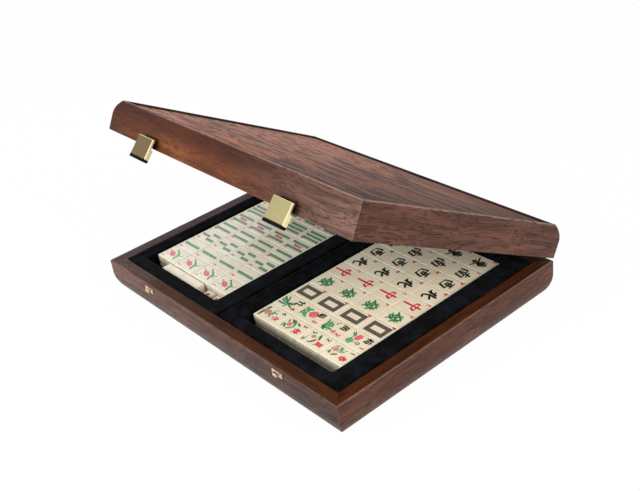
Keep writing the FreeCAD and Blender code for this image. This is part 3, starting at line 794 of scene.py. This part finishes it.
def bambooBird():
    # A little bird: a rosy body hatched in red, and a thin crescent of wing and tail in green
    strokes = [leaf("rose", [(-2.7, -1.6), (-0.4, 2.8), (1.8, 7.6)], 5.2),
               leaf("rose", [(-3.8, 2.0), (2.6, 4.6)], 3.0), leaf("rose", [(-2.4, 6.2), (3.2, 2.0)], 2.4)]
    strokes += [brush("red", [(x - 0.9, y - 1.3), (x + 0.9, y + 1.3)], 0.7, 0.0)
                for x, y in ((-2.2, -0.2), (-1.9, 2.8), (-0.2, 1.2), (-0.4, 5.2), (1.3, 3.6), (1.4, 6.8))]
    strokes += [brush("red", [(1.7, 8.8), (3.9, 10.4)], 0.9), brush("grey", [(-3.5, 8.6), (-2.8, 7.4)], 0.8),
                leaf("leaf", [(-3.4, -4.6), (0.2, -4.6), (3.6, -3.0)], 3.6),
                leaf("green", [(-6.4, -6.1), (-3.0, -4.9), (0.2, -5.2)], 2.0),
                leaf("green", [(-0.8, -6.0), (2.4, -3.6), (4.2, -1.2), (6.6, 2.4)], 1.6),
                brush("deep", [(-6.2, -6.0), (-3.6, -5.2)], 1.5), dot("deep", 7.1, 3.0, 1.0),
                brush("moss", [(1.6, -5.6), (0.4, -8.4)], 0.6),
                brush("grey", [(1.8, -8.4), (2.8, -9.4)], 0.9),
                brush("grey", [(3.6, -9.2), (4.2, -9.8)], 0.7)]
    return strokes


def bambooFace(count):
    high, tall, short = stick["high"], stick["tall"], stick["short"]
    layouts = {
        2: [(0, high, tall), (0, -high, tall)],
        3: [(0, high, tall), (-4.6, -high, tall), (4.6, -high, tall)],
        4: [(x, y, tall) for x in (-4.5, 4.5) for y in (high, -high)],
        5: [(x, y, tall) for x in (-4.5, 4.5) for y in (high, -high)] + [(0, 0, 10.2, "red")],
        6: [(x, y, tall) for x in (-5.4, 0, 5.4) for y in (high, -high)],
        7: [(0, 8.0, short, "red")] + [(x, y, short) for x in (-5.4, 0, 5.4) for y in (-0.2, -8.2)],
        8: [(x, y, tall, "deep", lean) for y, way in ((high, 1), (-high, -1))
            for x, lean in ((-6.8, 0.0), (-2.3, -0.3 * way), (2.3, 0.3 * way), (6.8, 0.0))],
        9: [(x, y, short, "red" if x == 0 else "deep") for x in (-5.4, 0, 5.4) for y in (8.0, -0.2, -8.4)],
    }
    strokes = bambooBird() if count == 1 else [part for place in layouts[count] for part in cane(*place)]
    return strokes + cornerIndex(str(count))


def blossom(ink, x, y, radius, petals):
    # Petals are thin small rings on a rosy disc, round a middle one
    turn = 2 * np.pi * np.arange(petals) / petals
    strokes = [dot("blush" if ink == "dusty" else "petal", x, y, radius)]
    strokes += [ring(ink, x + 0.62 * radius * math.cos(a), y + 0.62 * radius * math.sin(a), 0.36 * radius,
                     0.19 * radius) for a in turn]
    return strokes + [ring(ink, x, y, 0.24 * radius, 0.2 * radius)]


def spray(leaves, stems, flowers):
    # A plant: stems as thin lines, leaves with a darker rib on them, and blossoms
    strokes = [brush("moss", pairs(stem), 0.5) for stem in stems.split(",")]
    for row in leaves.split(","):
        ink, *numbers = row.split()
        a, b, c, d, width = map(float, numbers)
        strokes.append(leaf(ink, [(a, b), (c, d)], width))
        if width > 1.8:
            strokes.append(leaf("moss" if ink == "leaf" else "deep", [(a, b), (c, d)], width * 0.3))
    for row in filter(None, flowers.split(",")):
        ink, *numbers = row.split()
        strokes += blossom(ink, *map(float, numbers))
    return strokes


plants = {  # leaves as ink, ends and width; stems; blossoms as ink, centre, radius and petals
    "plum": ("green -7.8 -11.2 -2.6 -6.6 1.4, green -6.4 -12.2 -2 -8 1.3, leaf 0.8 -9.8 4.8 -3.8 4.2, "
        "leaf 2.8 -10.6 7.2 -5 3.4, moss 1.6 -4.8 7.2 -7.4 1.2, moss 0.6 -7 5.6 -11 1.2, "
        "green 2.4 -8.4 6.6 -9.6 1.2, green -2.2 -8 1.2 -8.6 0.9",
        "3.4 -0.4 3 -4", "red -4.4 -3.2 2.9 5, red -1.8 -3.7 2.8 5"),
    "orchid": ("deep -8 -0.4 -6.9 -1.4 1.4, deep -6.2 -1.8 -4.2 -3 1.5, green -4.2 -5.8 1.6 -2.8 1.5, "
        "leaf -4 -7.4 5 -4.2 2.4, green -5.2 -8.6 3.2 -6 1.6, leaf -3.8 -10 6.2 -6.6 2.6, "
        "green -6.4 -12 2.4 -9.6 1.6, green 0.8 -11.2 8.2 -6.8 2.6, moss 3.4 -0.8 5 -8.8 1.8, "
        "green 2.2 -9.4 7.8 -9.8 2, deep 4 -12.6 5.4 -7.2 1.4, leaf 2 -6.4 6.8 -3.2 1.8",
        "4.6 1 4.6 -2.4", "red 4.5 2.5 2.2 4"),
    "daisy": ("leaf -6 -4.6 -2.6 -11.4 3.4, leaf -2.6 -11.6 -0.6 -6 2.2, green -6.6 -5.4 -1 -9.4 1.2, "
        "green -6.4 -11.8 -1.2 -6.6 1.2, leaf 0.2 -10.8 5.8 -4.2 4, green -0.6 -11.4 6.4 -3 1.3, "
        "moss 0.8 -5.6 3.8 -11.6 1.2, green -6.6 -12.2 -3.2 -12 1.2, green -2.8 -11.8 5.6 -12 1.5, "
        "green 0.4 -7.2 5.4 -8.4 1",
        "-1.2 -3.6 -1 -7.6", "red -1.2 0.3 4.2 8, red -1.2 0.3 2.2 5"),
    "cane": ("deep -2.4 2.6 0.2 4.6 1.9, green -0.8 5.4 1.8 -3 2.2, green 5.6 6.2 2.6 -1.4 1.7, "
        "green 1.2 4.2 2.4 -6 1.8, moss 3 -1.2 8.8 -2.6 1.6, green 3.2 -1.4 -1.8 -7.8 1.8, "
        "green -6.4 -8 0.2 -3.8 1.7, green -4.8 -11.8 1 -5.6 1.9, leaf -2.4 -12.2 0.8 -5.4 2, "
        "moss 4.8 -12.6 4.8 -3 2.2, green 0.2 -11.8 3.2 -4 1.8, leaf 0.8 -9 4.4 -2 1.6",
        "2.8 -0.6 -2.6 -11.8", ""),
    "spring": ("leaf -7.4 -3.8 -1.4 -0.2 3, moss -7 -4.4 -2.6 -2 1.6, leaf -3.4 2.4 -1.2 -2.2 1.8, "
        "moss 1.4 -0.6 5.4 -5.6 2, grey -6.2 2.8 -4.6 1.4 0.7, leaf -3.6 1.2 -1.6 -1.4 1.4, "
        "moss 1.8 -1.6 5 -5.6 1.5, moss 1.4 -9.2 5.2 -8 1.7, moss 1 -8.8 4.6 -10.8 1.5, "
        "grey -7.4 -6.4 -4.6 -9.8 1.3, moss -3.4 -10.6 0.6 -9.4 1",
        "-4.4 2 -1.8 -1 -0.6 -3.6, -5.6 -9.4 -1.8 -10.6", "dusty -2.2 -6.6 2.5 4, red -1.8 -6.4 1.2 4"),
    "summer": ("moss -7.6 -1 -0.8 2.2 2.6, green -6.2 0.4 -1.6 1.8 1.5, moss -0.8 0.2 5.6 -2.4 2.5, "
        "grey 4.6 -2 6.6 -4.6 1.6, green -7.4 -6.4 -4.4 -8.8 1.7, leaf -7 -5.6 -5 -10.2 1.9, "
        "moss -6.8 -10.8 -4.4 -8.4 1.2, leaf 1.6 -9.6 4.2 -10.2 1.2, grey 4 -9.2 7.2 -11.4 1.6, "
        "moss 4 -12.2 6 -9.6 1.5",
        "-3.8 -9.8 0.4 -9.4 3 -9.8", "dusty -1.9 -5 2.2 4"),
    "autumn": ("green -7.2 -4.6 -1.6 0 1.6, moss -7.4 -5.8 -3.2 -2.4 1.3, leaf -4.2 -1.6 2 0.6 2.2, "
        "moss -4.4 0.2 -3.2 5 1.1, leaf 0.2 0.8 6.4 -4.4 2.2, moss 1.2 -0.8 5.6 -4.8 1.2, "
        "moss -5.8 -1.2 -4.4 4.2 1.3, moss -6.6 -3.6 -2.4 -1 1.4, moss -7.4 -8.2 -3.4 -4.8 1.4, "
        "green -7 -7.2 -2.6 -3.2 1.3, moss -5.6 -10.2 -1.2 -8.4 1.5, green 1 -9.8 5.4 -6.8 2, "
        "leaf 0.8 -11.8 5.2 -9.4 1.8, leaf 3.2 -11.4 6.4 -10.4 1",
        "-6.8 -6.4 -2.4 -2.4 1.2 0.4, 4.4 -5.8 7.4 -7, 2.4 -9 5.6 -6.4",
        "crimson -0.1 -5.6 2.6 5, red -0.1 -5.6 1.5 4"),
    "winter": ("leaf -3.2 4.2 -0.8 -1.6 2.2, green -3.8 0.4 -1.2 -1.8 1.3, leaf -2.4 -1.8 1.6 1.4 2.3, "
        "moss -0.6 -2.8 5.2 0.4 1.7, grey -7.4 1.4 -5.2 -0.6 0.9, grey -5.4 -0.8 -3.4 -1.6 0.8, "
        "green -7 -9.4 -2.2 -10.6 2.2, leaf -3.2 -11.8 -0.6 -9 1.7, moss -7.2 -8.6 -1.4 -9.6 1.8, "
        "grey 1 -9.2 4.8 -11.4 2.4, grey 3.4 -9.6 8.4 -10.6 2.2, moss -0.4 -9.4 1.4 -12.2 1.6",
        "0.6 -1 0.4 -3, 0.2 -8.6 -0.6 -11.4", "dusty 0.3 -5.8 3.3 5"),
}
honourSigns = {  # character, ink, size, width of strokes and index
    "green_dragons": ("fortune", "green", 14.2, 1.65, "F"),
    "red_dragons": ("centre", "red", 14.0, 1.6, "C"),
    "north_winds": ("north", "black", 13.8, 1.9, "N"),
    "west_winds": ("west", "black", 12.6, 1.7, "W"),
    "south_winds": ("south", "black", 14.6, 1.7, "S"),
    "east_winds": ("east", "black", 14.6, 1.75, "E"),
}
plantSigns = {  # the plants, their character's ink, place, size and width, and their number's
    "flowers": (("cane", "daisy", "orchid", "plum"), ("black", -4.8, 7.0, 7.8, 1.15),
                ("red", 5.4, 8.6, 4.6, 0.95, 0.1)),
    "seasons": (("winter", "autumn", "summer", "spring"), ("crimson", 3.0, 6.8, 7.4, 1.05),
                ("grey", -6.3, 8.6, 4.3, 0.95, 0.1)),
}


def honourFaces(row):
    if row == "white_dragons":
        return [whiteDragon() + cornerIndex("P", x=-8.7)] * 4
    if row in honourSigns:
        name, ink, size, width, sign = honourSigns[row]
        return [draw(characters[name], ink, 0.2, -0.4, size, width) + cornerIndex(sign, x=-8.2)] * 4
    names, sign, index = plantSigns[row]
    faces = []
    for number, name in zip("4321", names):  # number one is at the right end of its row
        bud = [ring("green", 3.1, 1.4, 1.5, 1.1)] if name == "plum" else []
        faces.append(spray(*plants[name]) + bud + draw(characters[name], *sign)
                     + draw(indexMarks[number], *index))
    return faces


fret = {"halfWidth": 7.25, "halfHeight": 10.7, "band": 4.3, "line": 0.22, "pitch": 2.3, "square": 1.3}


def frameBands(ink, halfWidth, halfHeight, width):
    x, y = halfWidth - width / 2, halfHeight - width / 2
    return ([bar(ink, (-halfWidth, level), (halfWidth, level), width) for level in (y, -y)]
            + [bar(ink, (side, -y), (side, y), width) for side in (-x, x)])


def whiteDragon():
    # A broad dark frame with a chain of small pale squares between two fine lines
    wide, tall, band = fret["halfWidth"], fret["halfHeight"], fret["band"]
    strokes = frameBands("slate", wide, tall, band)
    for inset in (0.45, band - 0.95):
        strokes += frameBands("pale", wide - inset, tall - inset, fret["line"])
    x, y = wide - band / 2, tall - band / 2
    across = np.linspace(-x, x, int(round(2 * x / fret["pitch"])) + 1)
    upward = np.linspace(-y, y, int(round(2 * y / fret["pitch"])) + 1)[1:-1]
    places = [(a, side) for a in across for side in (y, -y)] + [(side, b) for b in upward for side in (x, -x)]
    half = fret["square"] / 2
    for a, b in places:  # three sides of each square
        strokes += [bar("pale", (a - half, b + low * half), (a + reach * half, b + high * half), fret["line"])
                    for low, reach, high in ((-1, 1, -1), (1, 1, 1), (-1, -1, 1))]
    return strokes


def circleFace(count):
    # One to nine coins, each two rings round a dot
    layouts = {
        1: [(0, 0, 6.4)], 2: [(0, 6.2, 4.0), (0, -6.2, 4.0)], 3: [(-5, 8, 3.2), (0, 0, 3.2), (5, -8, 3.2)],
        4: [(x, y, 3.4) for x in (-4.6, 4.6) for y in (6.2, -6.2)],
        5: [(x, y, 3.0) for x in (-5.4, 5.4) for y in (7.2, -7.2)] + [(0, 0, 3.0)],
        6: [(x, y, 2.9) for x in (-4.6, 4.6) for y in (8.4, -1.0, -8.6)],
        7: [(-6, 10, 2.1), (0, 7.4, 2.1), (6, 4.8, 2.1)]
           + [(x, y, 2.6) for x in (-4.2, 4.2) for y in (-3.0, -9.4)],
        8: [(x, y, 2.5) for x in (-4.4, 4.4) for y in (9.6, 3.2, -3.2, -9.6)],
        9: [(x, y, 2.5) for x in (-6.2, 0, 6.2) for y in (8.4, 0, -8.4)],
    }
    strokes = []
    for order, (x, y, radius) in enumerate(layouts[count]):
        ink = ("green", "red", "deep")[order % 3]
        strokes += [ring(ink, x, y, radius * 0.88, radius * 0.22),
                    ring("red", x, y, radius * 0.5, radius * 0.18), dot(ink, x, y, radius * 0.26)]
    return strokes + cornerIndex(str(count))


def characterFace(count):
    return (draw(numerals[count - 1], "deep", 0.4, 6.4, 9.0, 1.2)
            + draw(characters["myriad"], "red", 0, -6.0, 11.0, 1.0) + cornerIndex(str(count)))


def makePaint():
    # Each stroke's own ink, a little uneven, with a soft gloss
    material, tree, shader = newMaterial("tilePaint", Coat_Weight=resin["coat"],
                                         Coat_Roughness=resin["coatRoughness"])
    ink = addNode(tree, "ShaderNodeAttribute", attribute_name="ink").outputs["Color"]
    uneven = scale(tree, noise(tree, objectPlace(tree), 900.0), 0.5, 0.75)
    feed(tree, shader, Base_Color=shadeColour(tree, ink, uneven),
         Roughness=scale(tree, noise(tree, objectPlace(tree), 500.0), 0.2, 0.3))
    return material


tilePaint = makePaint()


def tilePlaces(row, columns=4, gap=0.2 * mm):  # centres of a row's faces, and their height
    low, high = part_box(row)
    length = (high.x - low.x - gap * (columns - 1)) / columns
    return [(low.x + length / 2 + column * (length + gap), (low.y + high.y) / 2, high.z)
            for column in range(columns)]


def layInk(name, body, faces):
    # Every stroke of every face as one mesh; a face is its strokes, its centre and which way its top points
    points, quads, colours, start = [], [], [], 0
    for strokes, (x, y, z), way in faces:
        for order, (ink, grid) in enumerate(strokes):
            stations = len(grid)
            height = z + mm * (markLook["lift"] + markLook["layer"] * order + grid[..., 2])
            place = np.stack([x + way * grid[..., 1] * mm, y - way * grid[..., 0] * mm, height], axis=-1)
            points.append(place.reshape(-1, 3))
            first = start + (3 * np.arange(stations - 1)[:, None] + np.arange(2)[None, :]).reshape(-1)
            quads.append(np.stack([first, first + 3, first + 4, first + 1], axis=1))
            colours.append(np.tile(inks[ink], (3 * stations, 1)))
            start += 3 * stations
    piece = meshPiece(name, np.vstack(points), np.vstack(quads), tilePaint, inkColours=np.vstack(colours))
    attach(piece, body)


def markTiles():
    for number, row in enumerate(bambooRows, 1):
        faces = [(bambooFace(number), place, -1) for place in tilePlaces(row)]
        layInk(row + "_marks", "left_top_tiles", faces)
    for row in honourRows:
        layInk(row + "_marks", "right_top_tiles",
               [(face, place, 1) for face, place in zip(honourFaces(row), tilePlaces(row))])
    for lower, rows, face, way in (("circle_tiles", bambooRows, circleFace, -1),
                                   ("character_tiles", honourRows, characterFace, 1)):
        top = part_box(lower)[1].z
        faces = [(face(number), (x, y, top), way) for number, row in enumerate(rows, 1)
                 for x, y, _ in tilePlaces(row)]
        layInk(lower.replace("tiles", "marks"), "base", faces)


markTiles()
print("tile faces drawn")


# Dice pips

pip = {"radius": 1.15 * mm, "single": 2.4 * mm, "spread": 2.7 * mm, "rise": 0.03 * mm, "sides": 20,
       "lift": 0.005 * mm}
pipLayouts = {1: "0 0", 2: "-1 -1 1 1", 3: "-1 -1 0 0 1 1", 4: "-1 -1 -1 1 1 -1 1 1",
              5: "-1 -1 -1 1 1 -1 1 1 0 0", 6: "-1 -1 -1 0 -1 1 1 -1 1 0 1 1"}


def pipDisc(centre, right, up, out, radius):
    # A low dome: rings of points round a centre, highest in the middle
    turn = 2 * np.pi * np.arange(pip["sides"]) / pip["sides"]
    shares = np.array([1.0, 0.8, 0.4])[:, None]
    flat = (shares * np.cos(turn))[..., None] * right + (shares * np.sin(turn))[..., None] * up
    rise = pip["rise"] * np.sqrt(1 - 0.99 * shares ** 2)[..., None] * out
    return (centre + radius * flat + rise).reshape(-1, 3)


def markDice():
    low, high = (np.array(corner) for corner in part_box("dice"))
    half = (high[1] - low[1]) / 2
    right, ahead, up = np.array([1.0, 0, 0]), np.array([0, -1.0, 0]), np.array([0, 0, 1.0])
    faces = [(up, right, ahead, 1), (-up, right, ahead, 6), (ahead, right, up, 2), (-ahead, right, up, 5),
             (right, ahead, up, 3), (-right, ahead, up, 4)]
    around = np.arange(pip["sides"])
    onward = (around + 1) % pip["sides"]
    points, quads, caps, colours = [], [], [], []
    for x in (low[0] + half, high[0] - half):
        centre = np.array([x, (low[1] + high[1]) / 2, (low[2] + high[2]) / 2])
        for out, across, rising, count in faces:
            if np.dot(np.cross(across, rising), out) < 0:
                across = -across
            radius = pip["single"] if count == 1 else pip["radius"]
            for a, b in pairs(pipLayouts[count]):
                start = sum(len(block) for block in points)
                middle = centre + half * out + pip["spread"] * (a * across + b * rising)
                points.append(pipDisc(middle + pip["lift"] * out, across, rising, out, radius))
                for inner in (start, start + pip["sides"]):
                    outer = inner + pip["sides"]
                    quads += np.stack([inner + around, inner + onward, outer + onward, outer + around],
                                      axis=1).tolist()
                caps.append((start + 2 * pip["sides"] + around).tolist())
                colours.append(np.tile(inks["red" if count in (1, 4) else "black"], (3 * pip["sides"], 1)))
    piece = meshPiece("dice_pips", np.vstack(points), quads + caps, tilePaint, smooth=False,
                      inkColours=np.vstack(colours))
    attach(piece, "base")


markDice()
print("dice marked")


# Velvet

velvet = {
    "nap": tint(5, 7, 11),
    "lint": tint(54, 52, 52),
    "sheen": 0.085,
    "shine": 0.07,
    "sheenTint": tint(120, 124, 132),
    "toothSize": 2600.0,
    "napDepth": 0.12 * mm,
    "patchSize": 75.0,
    "patches": (0.4, 0.66, 0.0, 3.0),  # part of the noise, and how bright the nap is there
    "lintSize": 1100.0,
    "lintSpots": (0.70, 0.80, 0.0, 0.6),  # part of the noise, and the share of lint there
}


def makeVelvet():
    # Black pile: slow patches where the nap lies differently, a fine tooth, and a little pale lint
    material, tree, shader = newMaterial("blackVelvet", Roughness=0.95, Sheen_Weight=velvet["sheen"],
                                         Sheen_Roughness=0.45, Specular_IOR_Level=velvet["shine"])
    shader.inputs["Sheen Tint"].default_value = velvet["sheenTint"]
    place = objectPlace(tree)
    lying = spread(tree, noise(tree, place, velvet["patchSize"], 4.0, 0.7), *velvet["patches"])
    colour = shadeColour(tree, velvet["nap"], lying)
    drawn = addNode(tree, "ShaderNodeMapping", {"Vector": place, "Rotation": (0.2, 0.1, 0.7),
                                                "Scale": (0.4, 1.0, 1.0)}).outputs["Vector"]
    lint = spread(tree, noise(tree, drawn, velvet["lintSize"], 2.0, 0.6), *velvet["lintSpots"])
    feed(tree, shader, Base_Color=blendColours(tree, lint, colour, velvet["lint"]))
    addBump(tree, shader, noise(tree, place, velvet["toothSize"], 2.0, 0.7), velvet["napDepth"], 0.6)
    return material


blackVelvet = makeVelvet()


inward = np.array([1.0, -1.0, 1.0, -1.0])  # from a rectangle's low X, high X, low Y and high Y


def quarterArc(steps):  # how far short of a quarter circle's full reach its points are, sideways and upwards
    return [(1 - np.cos(a), 1 - np.sin(a)) for a in np.linspace(0.0, np.pi / 2, steps)]


def roundedLoops(section, perCorner=7, perSide=26):
    # Points round rectangles with round corners, from rows of a rectangle, a height and a corner's radius.
    # Each point is a place on the rectangle of the corners' centres and a direction out of it, so that every
    # loop has as many points in the same order
    rects, heights, radii = (np.array(part, float) for part in zip(*section))
    arc = np.linspace(0.0, np.pi / 2, perCorner)
    share = np.linspace(0.0, 1.0, perSide + 2)[1:-1, None]
    signs = np.array([(1, 1), (-1, 1), (-1, -1), (1, -1)], float)
    spots, outs = [], []
    for quarter, (here, onward) in enumerate(zip(signs, np.roll(signs, -1, axis=0))):
        turn = arc + quarter * np.pi / 2
        out = np.stack([np.cos(turn), np.sin(turn)], axis=1)
        spots += [np.tile(here, (perCorner, 1)), here + (onward - here) * share]
        outs += [out, np.tile(out[-1], (perSide, 1))]
    low, high, radii = rects[:, None, ::2], rects[:, None, 1::2], radii[:, None, None]
    flat = (low + high) / 2 + np.vstack(spots) * ((high - low) / 2 - radii) + radii * np.vstack(outs)
    return np.concatenate([flat, np.broadcast_to(heights[:, None, None], flat.shape[:2] + (1,))], axis=2)


def loopMesh(name, loops, material):
    # Quads between neighbouring loops, and a cap on the first and the last
    rows, around = loops.shape[:2]
    base, step = np.arange(rows - 1)[:, None] * around, np.arange(around)[None, :]
    first, onward = (base + step).reshape(-1), (base + (step + 1) % around).reshape(-1)
    quads = np.stack([first, onward, onward + around, first + around], axis=1)
    caps = [list(range(around))[::-1], list(range((rows - 1) * around, rows * around))]
    return meshPiece(name, loops.reshape(-1, 3), quads.tolist() + caps, material)


trayShape = {
    "edge": 2.6 * mm,        # round of the outer upper edge
    "crown": 1.7 * mm,       # how far the cloth swells at that edge
    "rim": 1.5 * mm,         # round of the well's edge
    "foot": 0.8 * mm,
    "floor": 2.5 * mm,
    "slack": 0.4 * mm,       # round the tiles
    "loose": 0.3 * mm,       # in front of the spare tiles
    "outerCorner": 1.2 * mm,
    "wellCorner": 1.6 * mm,
    "ripple": 0.12 * mm,
    "waves": (210, 90, 170, 120),  # ripples to a metre, times a turn in radians
    "arcSteps": 6,
    "borderSteps": 7,
}


def makeTray(node, body, rows):
    # Section from the underside's edge, up the outer wall, over the border, down the well, across its floor
    low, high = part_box(node)
    slack = trayShape["slack"]
    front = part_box("spare_tiles")[0].y - trayShape["loose"]
    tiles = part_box(rows[0])
    well = np.array([tiles[0].x - slack, tiles[1].x + slack, front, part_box(bambooRows[-1])[1].y + slack])
    outer = np.array([low.x, high.x, low.y, high.y])
    arc = quarterArc(trayShape["arcSteps"])
    edge, rim, foot, crown = (trayShape[key] for key in ("edge", "rim", "foot", "crown"))
    outerCorner, wellCorner = trayShape["outerCorner"], trayShape["wellCorner"]
    floor = low.z + trayShape["floor"]
    inner, wide = outer + inward * edge, well - inward * rim
    section = [(outer + inward * 4 * edge, low.z, outerCorner), (outer, low.z, outerCorner)]
    section += [(outer + inward * edge * c, high.z + crown - edge * s, outerCorner) for c, s in arc]
    section += [(inner + (wide - inner) * share, high.z + crown * (1 - share) ** 1.5,
                 outerCorner + (wellCorner + rim - outerCorner) * share)
                for share in np.linspace(0.0, 1.0, trayShape["borderSteps"])[1:-1]]
    section += [(well - inward * rim * s, high.z - rim * c, wellCorner + rim * s) for c, s in arc]
    section += [(well, high.z - rim + (floor + foot - high.z + rim) * share, wellCorner)
                for share in (0.3, 0.6, 0.85)]
    section += [(well + inward * foot * c, floor + foot * s, wellCorner) for c, s in arc]
    loops = roundedLoops(section)
    x, y, z = loops[..., 0], loops[..., 1], loops[..., 2]
    top = np.clip((z - high.z + 3 * rim) / (3 * rim), 0.0, 1.0)
    a, b, c, d = trayShape["waves"]
    wave = np.sin(x * a + 2 * np.sin(y * b)) + np.sin(y * c + 1.7 * np.sin(x * d) + 1.0)
    loops[..., 2] = z + trayShape["ripple"] * top * (0.5 * wave - 1.0) / 2
    piece = loopMesh(node + "_velvet", loops, blackVelvet)
    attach(piece, body)
    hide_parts(node)


restShape = {"margin": 1.0 * mm, "soft": 0.8 * mm, "sunk": 0.2 * mm, "corner": 1.0 * mm}


def makeDiceRest():
    # A low block with soft upper edges: its loops climb its sides, turn inwards and close on its top
    low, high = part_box("dice")
    floor, top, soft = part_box("left_tray")[0].z + trayShape["floor"], low.z, restShape["soft"]
    outer = np.array([low.x - restShape["margin"], high.x + restShape["margin"], low.y - trayShape["loose"],
                      high.y])
    section = [(outer, floor - restShape["sunk"])]
    section += [(outer + inward * soft * c, top - soft * s) for c, s in quarterArc(trayShape["arcSteps"])]
    section.append((outer + inward * 4 * soft, top))
    loops = roundedLoops([(*row, restShape["corner"]) for row in section])
    piece = loopMesh("dice_rest_velvet", loops, blackVelvet)
    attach(piece, "base")


liningShape = {"round": 0.6 * mm, "corner": 3 * mm, "crown": 0.25 * mm, "steps": 6}


def makeLining():
    # A thin pad: its section is a face that swells a little towards the middle, and a quarter round edge
    low, high = flatBox("lid_lining", lidClosed)
    outer = np.array([low[0], high[0], low[1], high[1]])
    edge, crown, steps = (liningShape[key] for key in ("round", "crown", "steps"))
    reach = min(high[0] - low[0], high[1] - low[1]) / 2
    section = [(outer + inward * (edge + (reach - edge) * share ** 2), low[2] + crown * (1 - share ** 0.5))
               for share in np.linspace(0.9, 0.0, steps * 3)]
    section += [(outer + inward * edge * s, low[2] + crown + edge * c) for c, s in quarterArc(steps)[1:]]
    section += [(outer, high[2]), (outer + inward * 8 * edge, high[2])]
    loops = roundedLoops([(*row, liningShape["corner"]) for row in section])
    tilted = lidClosed.inverted()
    loops = loops @ np.array(tilted.to_3x3()).T + np.array(tilted.translation)
    piece = loopMesh("lid_lining_velvet", loops, blackVelvet)
    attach(piece, "lid")
    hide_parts("lid_lining")


makeTray("left_tray", "base", bambooRows)
makeTray("right_tray", "base", honourRows)
makeDiceRest()
makeLining()
print("velvet laid")


# Floor, light and camera

stage = {
    "floorSize": 6.0,
    "floorColour": (0.8, 0.8, 0.8, 1.0),
    "floorGlow": 0.97,       # share of plain white that the camera and reflections see
    "sky": 0.6,
}
lamps = [  # place, aim, size, power, colour
    ((-0.35, -1.42, 0.95), (0.0, 0.0, 0.05), 1.0, 26.0, (1.0, 0.99, 0.96)),
    ((1.25, 0.2, 0.62), (0.05, 0.0, 0.04), 0.7, 12.0, (1.0, 0.85, 0.7)),
]
cameraLook = {
    "eye": (0.6054, -0.4513, 0.4906),
    "aim": (0.0205, -0.0125, 0.06),
    "roll": -8.2,
    "lens": 53.98,
}


def seenDirectly(tree):  # 1 for rays from the camera, from a glossy surface and through glass
    path = addNode(tree, "ShaderNodeLightPath").outputs
    seen = calc(tree, "ADD", path["Is Camera Ray"], path["Is Glossy Ray"])
    return calc(tree, "ADD", seen, path["Is Transmission Ray"], clamp=True)


def makeStage():
    material = bpy.data.materials.new("floorPaint")
    material.use_nodes = True
    tree = material.node_tree
    tree.nodes.clear()
    matt = addNode(tree, "ShaderNodeBsdfDiffuse", {"Color": stage["floorColour"]})
    glow = addNode(tree, "ShaderNodeEmission", {"Color": (1.0, 1.0, 1.0, 1.0), "Strength": 1.0})
    share = times(tree, seenDirectly(tree), stage["floorGlow"])
    both = addNode(tree, "ShaderNodeMixShader", {0: share, 1: matt.outputs[0], 2: glow.outputs[0]})
    addNode(tree, "ShaderNodeOutputMaterial", {"Surface": both.outputs[0]})
    half = stage["floorSize"] / 2
    corners = [(-half, -half, 0), (half, -half, 0), (half, half, 0), (-half, half, 0)]
    floor = meshPiece("floor", corners, [(0, 1, 2, 3)], material, smooth=False)
    world = bpy.data.worlds.new("studio")
    bpy.context.scene.world = world
    world.use_nodes = True
    tree = world.node_tree
    tree.nodes.clear()
    strength = spread(tree, seenDirectly(tree), 0.0, 1.0, stage["sky"], 1.0, smooth=False)
    sky = addNode(tree, "ShaderNodeBackground", {"Color": (1.0, 1.0, 1.0, 1.0), "Strength": strength})
    addNode(tree, "ShaderNodeOutputWorld", {"Surface": sky.outputs[0]})


def makeLamps():
    for number, (place, aim, size, power, colour) in enumerate(lamps, 1):
        light = bpy.data.lights.new("softbox" + str(number), "AREA")
        light.shape = "SQUARE"
        light.size = size
        light.energy = power
        light.color = colour
        lamp = bpy.data.objects.new(light.name, light)
        lamp.location = place
        lamp.rotation_euler = (Vector(aim) - Vector(place)).to_track_quat("-Z", "Y").to_euler()
        bpy.context.scene.collection.objects.link(lamp)


def makeCamera():
    data = bpy.data.cameras.new("camera")
    data.lens = cameraLook["lens"]
    data.clip_start = 0.01
    camera = bpy.data.objects.new("camera", data)
    eye, aim = Vector(cameraLook["eye"]), Vector(cameraLook["aim"])
    level = (aim - eye).to_track_quat("-Z", "Y").to_matrix().to_4x4()
    camera.matrix_world = (Matrix.Translation(eye) @ level
                           @ Matrix.Rotation(math.radians(cameraLook["roll"]), 4, "Z"))
    bpy.context.scene.collection.objects.link(camera)
    bpy.context.scene.camera = camera


makeStage()
makeLamps()
makeCamera()
bpy.context.scene.view_settings.view_transform = "Standard"
print("stage set")
